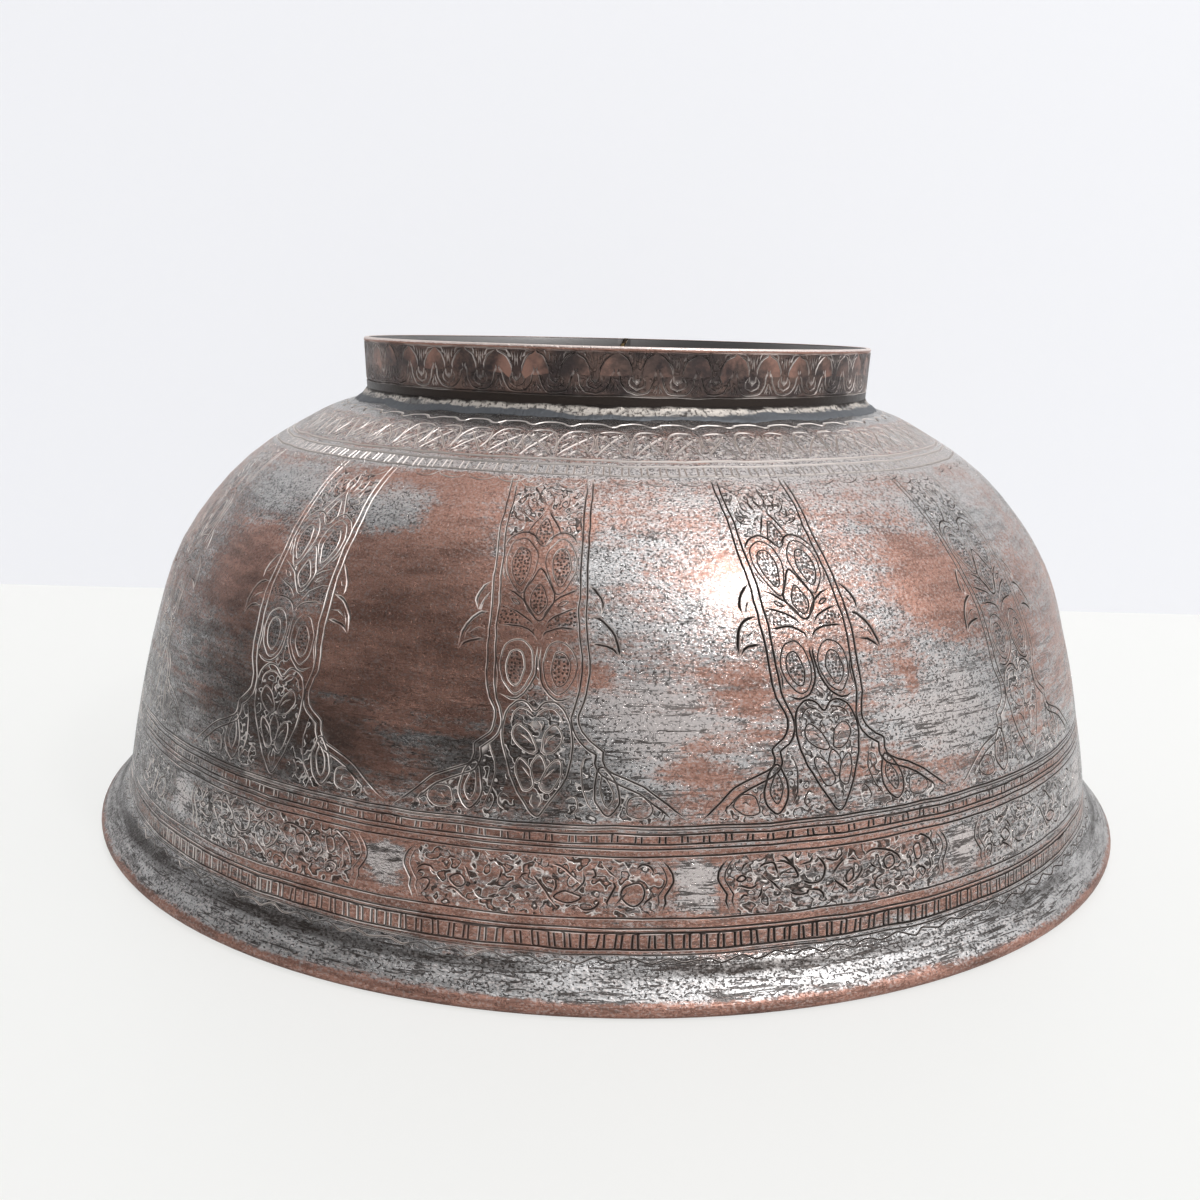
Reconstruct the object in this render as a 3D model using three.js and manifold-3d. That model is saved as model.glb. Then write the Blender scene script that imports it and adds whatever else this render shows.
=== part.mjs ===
// A tinned copper bowl, upside down on its mouth: a raised bowl with a flared lip, and a foot hoop soldered to its base.
// Millimetres, +Z up. The origin is the centre of the mouth, on the plane that the lip stands on.
import * as THREE from 'three';
import { mergeVertices } from 'three/addons/utils/BufferGeometryUtils.js';
import Module from 'manifold-3d';

// Driving dimensions of the bowl
const LIP_RADIUS = 135;       // outside of the lip, the widest place
const LIP_CURVE = 1.7;        // radius of the lip's round outer edge
const LAND_RADIUS = 131.6;    // inside of the flat land that the bowl stands on
const SHEET = 1.4;            // copper sheet of the wall
const BASE_HEIGHT = 110.8;    // outside of the base, on the axis

// Outside of the bowl as radius and height: flared flange, neck, wall, shoulder and base
const OUTSIDE = [
  [133.5, 4.1],
  [130.7, 6.8],
  [128.0, 9.9],
  [127.4, 13.5],
  [125.0, 27.0],
  [120.1, 48.6],
  [112.5, 70.2],
  [97.4, 89.1],
  [79.0, 101.2],
  [68.8, 105.3],
  [60.0, 108.2],
  [40.0, 110.2],
  [0, BASE_HEIGHT],
];

// Driving dimensions of the foot hoop, a strip on edge that leans out a little
const FOOT_HEIGHT = 121;      // free edge of the hoop above the mouth's plane
const FOOT_EDGE_RADIUS = 66.5;
const FOOT_SEAT_RADIUS = 65.8;
const FOOT_SHEET = 1.3;
const FOOT_ROUNDING = 0.25;   // worn outer corner of the free edge
const SEAM_SLANT = THREE.MathUtils.degToRad(24);
const SEAM_GAP = 1.8;         // slanted gap between the strip's two ends
const BRAZE_WIDTH = 1.2;      // braze that fills it

// Solder between the base and the hoop: a bed under the hoop, and a thin run of it on each side
const SOLDER_BED = 0.4;
const SOLDER_OUTER_RUN = 2.8;
const SOLDER_INNER_RUN = 2.2;
const SOLDER_CLIMB = 1.9;     // how far it climbs the hoop
const SOLDER_EDGE = 0.35;     // thickness of its edges
const GAP = 0.3;              // gap between pieces that touch

const AROUND = 72;            // flats round every turned piece
const STEPS_PER_SPAN = 2;
const LIP_STEPS = 4;

const metal = (color, roughness) => new THREE.MeshStandardMaterial({ color, roughness, metalness: 1 });
const TINNED_COPPER = metal(0x8a6252, 0.42);
const FOOT_COPPER = metal(0x6b4538, 0.45);
const SOLDER = metal(0xb4a89c, 0.5);

const wasm = await Module();
wasm.setup();

const points = (pairs) => pairs.map(([radius, height]) => new THREE.Vector2(radius, height));

// Turns an outline about the Z axis
const turned = (outline) => new THREE.LatheGeometry(outline, AROUND).rotateX(Math.PI / 2);

const outsideCurve = new THREE.SplineCurve(points(OUTSIDE)).getPoints((OUTSIDE.length - 1) * STEPS_PER_SPAN);

// The outside moved inwards by the sheet's thickness
function insideCurve() {
  return outsideCurve.map((point, i) => {
    const before = outsideCurve[Math.max(i - 1, 0)];
    const after = outsideCurve[Math.min(i + 1, outsideCurve.length - 1)];
    const along = after.clone().sub(before).normalize();
    return new THREE.Vector2(Math.max(point.x - along.y * SHEET, 0), point.y + along.x * SHEET);
  });
}

// Height of the outside of the base at a radius
function baseHeight(radius) {
  const i = outsideCurve.findIndex((point) => point.x <= radius);
  const [outer, inner] = [outsideCurve[i - 1], outsideCurve[i]];
  return THREE.MathUtils.mapLinear(radius, outer.x, inner.x, outer.y, inner.y);
}

function bowlBody() {
  const lip = new THREE.Path();
  lip.absarc(LIP_RADIUS - LIP_CURVE, LIP_CURVE, LIP_CURVE, -Math.PI / 2, Math.PI * 0.36);
  const inside = insideCurve().filter((point) => point.x < LAND_RADIUS).reverse();
  inside[0].set(0, BASE_HEIGHT - SHEET);
  return turned([...inside, new THREE.Vector2(LAND_RADIUS, 0), ...lip.getPoints(LIP_STEPS), ...outsideCurve]);
}

const seatHeight = baseHeight(FOOT_SEAT_RADIUS - FOOT_SHEET) + GAP + SOLDER_BED + GAP;

function hoopStrip() {
  return turned(points([
    [FOOT_SEAT_RADIUS - FOOT_SHEET, seatHeight],
    [FOOT_SEAT_RADIUS, seatHeight],
    [FOOT_EDGE_RADIUS, FOOT_HEIGHT - FOOT_ROUNDING],
    [FOOT_EDGE_RADIUS - FOOT_ROUNDING, FOOT_HEIGHT],
    [FOOT_EDGE_RADIUS - FOOT_SHEET, FOOT_HEIGHT],
    [FOOT_SEAT_RADIUS - FOOT_SHEET, seatHeight],
  ]));
}

// A slanted slab through the hoop at the back, where the strip's ends meet
function seamSlab(width) {
  const slab = new THREE.BoxGeometry(width, 20, 60).rotateY(SEAM_SLANT);
  return slab.translate(0, FOOT_SEAT_RADIUS, (seatHeight + FOOT_HEIGHT) / 2);
}

function footSolder() {
  const outer = FOOT_SEAT_RADIUS + GAP;
  const inner = FOOT_SEAT_RADIUS - FOOT_SHEET - GAP;
  const top = seatHeight + SOLDER_CLIMB;
  const lean = (FOOT_EDGE_RADIUS - FOOT_SEAT_RADIUS) / (FOOT_HEIGHT - seatHeight) * SOLDER_CLIMB;
  const onBase = (radius, above = 0) => [radius, baseHeight(radius) + GAP + above];
  return turned(points([
    onBase(inner - SOLDER_INNER_RUN),
    onBase(inner - SOLDER_INNER_RUN / 2),
    onBase(inner),
    onBase(outer),
    onBase(outer + SOLDER_OUTER_RUN / 2),
    onBase(outer + SOLDER_OUTER_RUN),
    onBase(outer + SOLDER_OUTER_RUN, SOLDER_EDGE),
    onBase(outer + SOLDER_OUTER_RUN * 0.4, SOLDER_CLIMB * 0.35),
    [outer + lean + SOLDER_EDGE, top],
    [outer + lean, top],
    [outer, seatHeight - GAP],
    [inner, seatHeight - GAP],
    [inner, top],
    [inner - SOLDER_EDGE, top],
    onBase(inner - SOLDER_INNER_RUN / 2, SOLDER_CLIMB * 0.4),
    onBase(inner - SOLDER_INNER_RUN),
  ]));
}

// A closed geometry as a solid that can be cut
function solid(geometry) {
  const bare = geometry.clone();
  bare.deleteAttribute('normal');
  bare.deleteAttribute('uv');
  const merged = mergeVertices(bare);
  return new wasm.Manifold(new wasm.Mesh({
    numProp: 3,
    vertProperties: new Float32Array(merged.getAttribute('position').array),
    triVerts: new Uint32Array(merged.index.array),
  }));
}

function geometryOf(manifold) {
  const { vertProperties, triVerts } = manifold.getMesh();
  const geometry = new THREE.BufferGeometry();
  geometry.setAttribute('position', new THREE.Float32BufferAttribute(vertProperties, 3));
  geometry.setIndex([...triVerts]);
  geometry.computeVertexNormals();
  return geometry;
}

function piece(name, geometry, material) {
  const mesh = new THREE.Mesh(geometry, material);
  mesh.name = name;
  return mesh;
}

const hoop = solid(hoopStrip());
const footHoop = geometryOf(hoop.subtract(solid(seamSlab(SEAM_GAP))));
const footBraze = geometryOf(hoop.intersect(solid(seamSlab(BRAZE_WIDTH))));

const copperBowl = new THREE.Group();
copperBowl.add(
  piece('bowl_body', bowlBody(), TINNED_COPPER),
  piece('foot_hoop', footHoop, FOOT_COPPER),
  piece('foot_hoop_braze', footBraze, SOLDER),
  piece('foot_solder', footSolder(), SOLDER),
);

export default copperBowl;
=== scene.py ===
# A tinned copper bowl, raised and engraved by hand, upside down on its mouth.
# Metres in the scene. The ornament is drawn on the unrolled wall, in millimetres along it and up it.
import math

import bmesh
import bpy
import numpy as np
from bpy.props import FloatProperty, FloatVectorProperty, IntProperty, PointerProperty
from mathutils import Matrix, Vector, noise
from mathutils.geometry import delaunay_2d_cdt


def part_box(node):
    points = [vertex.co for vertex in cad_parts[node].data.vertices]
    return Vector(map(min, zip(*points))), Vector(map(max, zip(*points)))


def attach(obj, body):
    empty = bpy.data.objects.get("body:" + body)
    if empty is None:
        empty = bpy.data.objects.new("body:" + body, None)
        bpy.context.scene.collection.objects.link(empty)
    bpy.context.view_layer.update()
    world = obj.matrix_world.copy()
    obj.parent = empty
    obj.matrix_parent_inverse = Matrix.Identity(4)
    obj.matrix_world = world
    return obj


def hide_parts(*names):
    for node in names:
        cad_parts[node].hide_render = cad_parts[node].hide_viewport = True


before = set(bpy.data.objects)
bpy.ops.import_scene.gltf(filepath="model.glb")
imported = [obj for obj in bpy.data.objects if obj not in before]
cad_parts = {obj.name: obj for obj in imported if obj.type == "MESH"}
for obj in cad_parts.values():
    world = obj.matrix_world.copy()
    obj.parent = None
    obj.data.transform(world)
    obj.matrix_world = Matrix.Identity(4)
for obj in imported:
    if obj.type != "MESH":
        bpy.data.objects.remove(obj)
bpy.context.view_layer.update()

bl_info = {
    "name": "Engraved copper bowl",
    "version": (1, 0, 0),
    "blender": (4, 5, 0),
    "location": "3D View > Sidebar > Bowl",
    "description": "Models a tinned copper bowl with an engraved wall and a soldered foot",
    "category": "Object",
}

MM = 0.001
FULL_TURN = 2 * math.pi

# Outside of the bowl as radius and height in millimetres, from the flange up to the middle of the base
BASE_HEIGHT = 110.8
OUTSIDE = [
    (133.5, 4.1),
    (130.7, 6.8),
    (128.0, 9.9),
    (127.4, 13.5),
    (125.0, 27.0),
    (120.1, 48.6),
    (112.5, 70.2),
    (97.4, 89.1),
    (79.0, 101.2),
    (68.8, 105.3),
    (60.0, 108.2),
    (40.0, 110.2),
    (0.0, BASE_HEIGHT),
]
FLANGE_START = 4.95       # distance up the outside from the floor to the first of these points
LIP_RADIUS = 135.0
LIP_CURVE = 1.7
LAND_RADIUS = 131.6

# The foot hoop, from its box in the frame
FOOT_LOW, FOOT_HIGH = (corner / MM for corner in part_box("foot_hoop"))
FOOT_EDGE_RADIUS = FOOT_HIGH.x
FOOT_LEAN = 0.7           # how much wider the hoop is at its free edge than at its seat
FOOT_SEAT_RADIUS = FOOT_EDGE_RADIUS - FOOT_LEAN
FOOT_SHEET = 1.3
FOOT_TALL = FOOT_HIGH.z - FOOT_LOW.z
FOOT_ROUNDING = 0.5
SEAM_SLANT = math.radians(24)
SEAM_GAP = 1.296
BRAZE_WIDTH = 1.25

# The camera, as fitted to the lip, the foot and the outline of the bowl
IMAGE_WIDTH = 1200
FOCAL_PIXELS = 1292.9
SENSOR = 36.0
CAMERA_BACK = 2.6049 * LIP_RADIUS * MM
CAMERA_UP = 0.9381 * LIP_RADIUS * MM
CAMERA_YAW = -0.0083
CAMERA_DOWN = 0.2137
CAMERA_ROLL = 0.0239
BACKDROP_BEHIND = 1.73 * LIP_RADIUS * MM
BACKDROP_TALL = 3
ROOM_REACH = 4            # how far the table and the wall reach to each side
SEEN_ROOM = 0.87          # how bright the room is where the camera looks past the wall
SHADING_SEEN = 0.21       # how much of their shading the camera sees on the table and the wall
WINDOW = (0.72, -0.72, 1.10)
WINDOW_SIZE = (0.14, 0.20)
WINDOW_POWER = 4.6        # watts
WINDOW_AIM = (0, 0, 0.07)

# The engraved wall: each of its repeats has one column and one cartouche
DEGREE = 2.02             # millimetres along the unrolled wall in one degree
FIRST_AXIS = -5.85        # degrees from the front to the axis of the first repeat
WALL_LOW = 10.4           # engraved wall, from the neck to the foot's solder
WALL_HIGH = 133.4
ROWS = 20                 # points up one repeat
COLUMNS = 12              # facets across one repeat
CLEAR = 0.9               # space between the cuts and the plain points of the sheet
NEAR = 1e-4               # points of the sheet nearer than this to each other are one
EDGE = 1e-3               # points nearer than this to the sheet's low or high edge lie on it
SUNK = 0.01               # depth from which a corner is in a cut
FOOT_REPEATS = 46
FOOT_ROWS = 7
FOOT_COLUMNS = 4
PLAIN, DOTTED, HATCHED, GROOVED = 0, 1, 2, 3      # how a face of the wall is worked
WALL_FACE, CUT_FACE = 1, 2                        # faces with normals of their own
WELD = 0.004 * MM         # corners nearer than this are one
WALL_STREAKS, FOOT_STREAKS = 0.116, 0.066         # radius at which the streaks of the finish are laid out

# Heights of the ornament up the wall
LOW_WAVE = 11.75
LOWER_LADDER = (13.8, 17.0)
CARTOUCHE_LOW, CARTOUCHE_HIGH = 19.7, 31.6
MIDDLE_LADDER = (33.9, 35.7)
COLUMN_FOOT, COLUMN_TOP = 37.6, 109.2
MEAN_LEAN = -5.8          # how far the columns lean over at their top
UPPER_LADDER = (110.6, 113.8)
ARCH_BAND = (116.3, 126.8)
HIGH_WAVE = 130.4


def length(name, description, millimetres):
    """A length that a user can set."""
    return FloatProperty(name=name, description=description, default=millimetres * MM, unit="LENGTH")


def tint(name, description, *colour):
    """A colour that a user can set, as red, green and blue."""
    return FloatVectorProperty(name=name, description=description, default=colour, subtype="COLOR")


class BowlSizes(bpy.types.PropertyGroup):
    """Sizes that a maker would change."""

    sheet: length("Sheet", "Thickness of the copper wall", 1.4)
    repeats: IntProperty(
        name="Repeats", description="Columns and cartouches round the wall", default=13, min=6, max=24)
    outline_width: length("Outline width", "Width of the graver's main cuts", 0.56)
    fine_width: length("Fine width", "Width of the graver's fine cuts", 0.42)
    cut_slope: FloatProperty(
        name="Cut slope", description="Depth of a cut for each part of its half width", default=1.05)
    hammering: length("Hammering", "Height of the soft hammer marks", 0.10)


class BowlColours(bpy.types.PropertyGroup):
    """Colours of the metals and of the stage."""

    copper: tint("Copper", "Bare copper on high places", 0.45, 0.25, 0.195)
    copper_brown: tint("Brown copper", "Copper darkened by age", 0.245, 0.137, 0.108)
    tin: tint("Tin", "Grey tin left on the copper", 0.515, 0.505, 0.502)
    # Pale tin, also used as painted light: it makes the upper wall and the highlight paler, and pale flecks
    # stand in for glints
    pale_tin_and_painted_light: tint("Pale tin", "Pinkish tin, thin over the copper", 0.62, 0.565, 0.545)
    tin_dark: tint("Dull tin", "Dull blue-grey tin", 0.225, 0.217, 0.213)
    # Brown-black dirt, also laid on as painted shade over the left and lower wall, along the crease above the
    # flange and in the bottoms of the cuts on the right
    patina_and_painted_shade: tint("Patina", "Brown-black dirt in cuts and corners", 0.045, 0.036, 0.032)
    # Bright metal along the cuts and on hatching ridges, partly a painted glint
    bright_cut_and_glint: tint("Cut edge", "Metal rubbed bright along the cuts", 0.86, 0.79, 0.75)
    solder: tint("Solder", "Dull tin solder", 0.62, 0.57, 0.52)
    solder_grey: tint("Solder stain", "Blue-grey stain round the solder", 0.135, 0.143, 0.155)
    foot_dark: tint("Dark foot", "Black-brown of the foot", 0.065, 0.053, 0.052)
    foot_brown: tint("Brown foot", "Brown copper of the foot", 0.20, 0.135, 0.113)
    # Bright worn rim, also a painted highlight along the foot's rounded top edge
    worn_rim_and_painted_highlight: tint("Rim", "Bright worn rim of the foot", 0.90, 0.79, 0.74)
    braze: tint("Braze", "Yellow braze in the foot's joint", 0.42, 0.30, 0.14)
    floor: tint("Floor", "Pale table, as it lights the bowl", 0.75, 0.75, 0.74)
    floor_glow: tint("Floor glow", "Pale tone that the camera adds to the table", 0.70, 0.70, 0.687)
    backdrop: tint("Backdrop", "Pale wall behind, as it lights the bowl", 0.97, 0.975, 0.99)
    backdrop_glow: tint("Backdrop glow", "Pale tone that the camera adds to the wall", 0.702, 0.708, 0.735)


def unit(vectors):
    """Vectors made one long."""
    return vectors / np.maximum(np.linalg.norm(vectors, axis=-1, keepdims=True), 1e-12)


def curve_through(points, step=0.6, closed=False):
    """A smooth line through given points, with a point every step or so."""
    p = np.array(points, float)
    if closed:
        ring = np.vstack([p[-1], p, p[:2]])
    else:
        ring = np.vstack([2 * p[0] - p[1], p, 2 * p[-1] - p[-2]])
    line = []
    for a, b, c, d in zip(ring, ring[1:], ring[2:], ring[3:]):
        steps = max(1, round(float(np.linalg.norm(c - b)) / step))
        t = (np.arange(steps) / steps)[:, None]
        line.append(0.5 * (2 * b + (c - a) * t + (2 * a - 5 * b + 4 * c - d) * t ** 2
                           + (3 * b - a - 3 * c + d) * t ** 3))
    line.append(p[:1] if closed else p[-1:])
    return np.vstack(line)


def straight(a, b, step=4.6):
    """A straight line with a point every step or so."""
    a, b = np.array(a, float), np.array(b, float)
    steps = max(1, round(float(np.linalg.norm(b - a)) / step))
    return a + (b - a) * (np.arange(steps + 1) / steps)[:, None]


class Wall:
    """The outside of the bowl as a curve: radius and height at a distance up it, in millimetres."""

    def __init__(self):
        line = curve_through(OUTSIDE, 0.4)
        line[-1] = (0, BASE_HEIGHT)
        steps = np.linalg.norm(np.diff(line, axis=0), axis=1)
        self.up = FLANGE_START + np.concatenate([[0], np.cumsum(steps)])
        self.radius, self.height = line[:, 0], line[:, 1]

    def at(self, up):
        return np.interp(up, self.up, self.radius), np.interp(up, self.up, self.height)

    def slope(self, up):
        """Direction of the curve, as change of radius and of height."""
        low, high = self.at(up - 0.6), self.at(up + 0.6)
        return unit(np.stack([high[0] - low[0], high[1] - low[1]], -1))

    def distance_at_radius(self, radius):
        return float(np.interp(-radius, -self.radius, self.up))


WALL = Wall()


def hammer_marks(degrees, up, height):
    """Soft unevenness of the raised sheet, in the unit of height. It fades out at both ends of the wall."""
    tall, round_wall, finer, fade_out = 14.0, 8.0, 2.3, 8
    marks = np.empty(len(degrees))
    angles = np.radians(degrees)
    for i, (angle, s) in enumerate(zip(angles, up)):
        place = Vector((math.sin(angle) * round_wall, math.cos(angle) * round_wall, s / tall))
        marks[i] = noise.noise(place) + 0.5 * noise.noise(place * finer)
    fade = np.clip((up - WALL_LOW) / fade_out, 0, 1) * np.clip((WALL_HIGH - up) / fade_out, 0, 1)
    return marks * height * fade


def wall_points(degrees, up, sunk):
    """Places on the wall, in metres, sunk below its surface by some metres."""
    radius, height = WALL.at(up)
    along = WALL.slope(up)
    outward = np.stack([along[:, 1], -along[:, 0]], -1)
    radius = radius * MM - outward[:, 0] * sunk
    height = height * MM - outward[:, 1] * sunk
    angle = np.radians(degrees)
    return np.stack([radius * np.sin(angle), -radius * np.cos(angle), height], -1)


def thinned(line, slack=0.09, longest=5.0):
    """The points of a line that it needs: without the others it moves by less than slack."""
    keep = {0, len(line) // 2, len(line) - 1}
    spans = [(0, len(line) // 2), (len(line) // 2, len(line) - 1)]
    while spans:
        a, b = spans.pop()
        if b - a < 2:
            continue
        chord = line[b] - line[a]
        span = max(float(np.linalg.norm(chord)), 1e-9)
        rest = line[a + 1:b] - line[a]
        away = np.abs(chord[0] * rest[:, 1] - chord[1] * rest[:, 0]) / span
        if away.max() > slack or span > longest:
            middle = a + 1 + int(away.argmax() if away.max() > slack else (b - a) // 2 - 1)
            keep.add(middle)
            spans += [(a, middle), (middle, b)]
    return line[sorted(keep)]


class Drawing:
    """Cuts and worked grounds of one repeat, drawn about its axis."""

    def __init__(self, sizes, half, place, lighter=1.0):
        self.fine = sizes.fine_width / MM * lighter
        self.main = sizes.outline_width / MM * lighter
        self.half = half
        self.place = place
        self.cuts = []
        self.grounds = []

    def cut(self, line, width=None, through=False, closed=False):
        """One cut of the graver. Its ends taper, unless it runs through to the next repeat."""
        slack = 0.05 if closed else 0.08
        line = thinned(self.place(np.array(line, float)), slack)
        self.cuts.append((line, width or self.fine, through, closed))

    def curve(self, points, width=None):
        self.cut(curve_through(points), width)

    def loop(self, points, width=None):
        self.cut(curve_through(points, closed=True), width, closed=True)

    def pair(self, points, width=None):
        """A curve and its mirror image on the other side of the axis."""
        self.curve(points, width)
        self.curve(mirrored(points), width)

    def ring(self, up, width=None):
        """A line that runs on round the wall."""
        self.cut(straight((-self.half, up), (self.half, up)), width, through=True)

    def ladder(self, heights, count, gap, width, ring_width=None):
        """Two lines round the wall with pairs of short rungs between them."""
        low, high = heights
        for up in heights:
            self.ring(up, ring_width or width)
        pitch = 2 * self.half / count
        short, taper = 0.3, 0.9
        for i in range(count):
            x = -self.half + (i + 0.5) * pitch
            for side in (-0.5, 0.5):
                rung = [(x + side * gap, low + short), (x + side * gap * taper, high - short)]
                self.cuts.append((self.place(np.array(rung)), width, False, False))

    def ground(self, *outlines, marks=DOTTED, rounded=True):
        """A dotted or hatched ground inside the first outline and outside those that lie in it."""
        lines = [curve_through(o, closed=True) if rounded else np.array([*o, o[0]], float) for o in outlines]
        self.grounds.append(([thinned(self.place(line)) for line in lines], marks))


def mirrored(points):
    """Points on the other side of the axis."""
    return [(-x, y) for x, y in points]


def both_halves(points):
    """A closed outline from its right half, which starts and ends on the axis."""
    return points + mirrored(points[-2:0:-1])


def cut_edges(line, width, through, closed, border):
    """The middle of a cut and its two edges, with the half width at each point."""
    if closed:
        ahead, behind = np.roll(line[:-1], -1, 0), np.roll(line[:-1], 1, 0)
        along = unit(ahead - behind)
        along = np.vstack([along, along[:1]])
    else:
        steps = unit(np.diff(line, axis=0))
        along = unit(np.vstack([steps[:1], steps[:-1] + steps[1:], steps[-1:]]))
        for end in (0, -1):
            if through and abs(abs(line[end, 0]) - border) < 1e-6:
                along[end] = (np.sign(along[end, 0]), 0)
    side = np.stack([-along[:, 1], along[:, 0]], -1)
    half = np.full(len(line), width / 2)
    if not (through or closed):
        half[0] = half[-1] = 0 if len(line) > 2 else width * 0.5
    return line, line + side * half[:, None], line - side * half[:, None], half


def depth_at(points, segments, slope):
    """Depth of the deepest cut at each point: V-shaped, so it falls with the distance from a cut's middle."""
    start, end, half_start, half_end = segments
    widest = max(half_start.max(), half_end.max())
    low = np.minimum(start[:, 0], end[:, 0]) - widest
    high = np.maximum(start[:, 0], end[:, 0]) + widest
    deepest = np.zeros(len(points))
    for chosen in np.array_split(np.argsort(points[:, 0]), len(points) // 120 + 1):
        chunk = points[chosen]
        near = (low <= chunk[-1, 0]) & (high >= chunk[0, 0])
        if not near.any():
            continue
        a, run = start[near], (end - start)[near]
        t = ((chunk[:, None] - a) * run).sum(2) / np.maximum((run ** 2).sum(1), 1e-12)
        t = np.clip(t, 0, 1)
        away = np.linalg.norm(chunk[:, None] - a - run * t[..., None], axis=2)
        half = half_start[near] + (half_end - half_start)[near] * t
        deepest[chosen] = np.maximum((half - away).max(1), 0) * slope
    return deepest


def inside(points, outline):
    """Which points lie inside a closed outline."""
    x, y = points[:, 0], points[:, 1]
    within = np.zeros(len(points), bool)
    for (x0, y0), (x1, y1) in zip(outline, outline[1:]):
        if y0 == y1:
            continue
        crosses = ((y0 > y) != (y1 > y)) & (x < (x1 - x0) * (y - y0) / (y1 - y0) + x0)
        within ^= crosses
    return within


def cut_segments(drawing, add_line):
    """Adds the lines of every cut. Returns the ends of its pieces, with the half width at each end."""
    starts, ends, half_starts, half_ends = [], [], [], []
    for line, width, through, closed in drawing.cuts:
        middle, left, right, half_widths = cut_edges(line, width, through, closed, drawing.half)
        for edge in (middle, left, right):
            add_line(edge)
        starts.append(middle[:-1])
        ends.append(middle[1:])
        half_starts.append(half_widths[:-1])
        half_ends.append(half_widths[1:])
    return np.vstack(starts), np.vstack(ends), np.concatenate(half_starts), np.concatenate(half_ends)


def how_worked(drawing, centres):
    """How the ground is worked at each place of a drawing."""
    worked = np.full(len(centres), PLAIN)
    for outlines, marks in drawing.grounds:
        within = np.zeros(len(centres), bool)
        for outline in outlines:
            within ^= inside(centres, outline)
        worked[within] = marks
    return worked


def engrave(drawing, rows, columns, slope):
    """Cuts a drawing into a flat sheet. Returns points, triangles, depths and how each one is worked."""
    half = drawing.half
    low, high = rows[0], rows[-1]
    points, edges = [], []

    def add_line(line):
        first = len(points)
        points.extend(line)
        edges.extend((first + i, first + i + 1) for i in range(len(line) - 1))

    segments = cut_segments(drawing, add_line)
    stations = np.linspace(-half, half, columns + 1)
    for x in (-half, half):
        add_line([(x, y) for y in rows])
    for y in (low, high):
        add_line([(x, y) for x in stations])
    grid = np.array([(x, y) for y in rows[1:-1] for x in stations[1:-1]])
    start, end, half_start, half_end = segments
    points.extend(grid[depth_at(grid, (start, end, half_start + CLEAR, half_end + CLEAR), 1.0) == 0])

    made = delaunay_2d_cdt([Vector(p) for p in points], edges, [], 0, NEAR, False)
    flat = np.array([tuple(v) for v in made[0]])
    faces = np.array([f for f in made[2] if len(f) == 3])
    centres = flat[faces].mean(1)
    kept = (abs(centres[:, 0]) < half) & (centres[:, 1] > low) & (centres[:, 1] < high)
    faces, centres = faces[kept], centres[kept]
    depths = depth_at(flat, segments, slope)
    depths[(flat[:, 1] < low + EDGE) | (flat[:, 1] > high - EDGE)] = 0
    sunk_corners = (depths[faces] > SUNK).sum(1)
    doubtful = sunk_corners == 1
    grooved = sunk_corners > 1
    grooved[doubtful] = depth_at(centres[doubtful], segments, slope) > 0
    worked = how_worked(drawing, centres)
    worked[grooved] = GROOVED
    return flat, faces, depths, worked


def lower_bands(d, seed):
    """The wave, the two ladders and the plain lines between the neck and the columns."""
    waves = 9
    pitch = 2 * d.half / waves
    x = np.linspace(-d.half, d.half, waves * 10 + 1)
    fades = np.array([noise.noise(Vector((u * 0.3, seed * 5.0, 0))) for u in x])
    ends = np.clip((d.half - abs(x)) / 3, 0, 1)
    height = (0.5 + 0.5 * fades) * np.sin(2 * np.pi * (x + d.half) / pitch) * ends
    d.cut(np.stack([x, LOW_WAVE + height], -1), through=True)
    d.ring(12.9)
    d.ladder(LOWER_LADDER, 19, 1.05, d.main * 1.15)
    for up in (17.8, CARTOUCHE_LOW, CARTOUCHE_HIGH, 33.0):
        d.ring(up, d.main)
    d.ladder(MIDDLE_LADDER, 14, 1.1, d.main)
    d.ring(36.6)
    d.ring(37.2, d.main)


CARTOUCHE_END = [(6.3, 31.3), (4.3, 28.9), (4.0, 26.6), (5.5, 24.0), (5.3, 22.7), (6.2, 20.0)]

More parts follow.
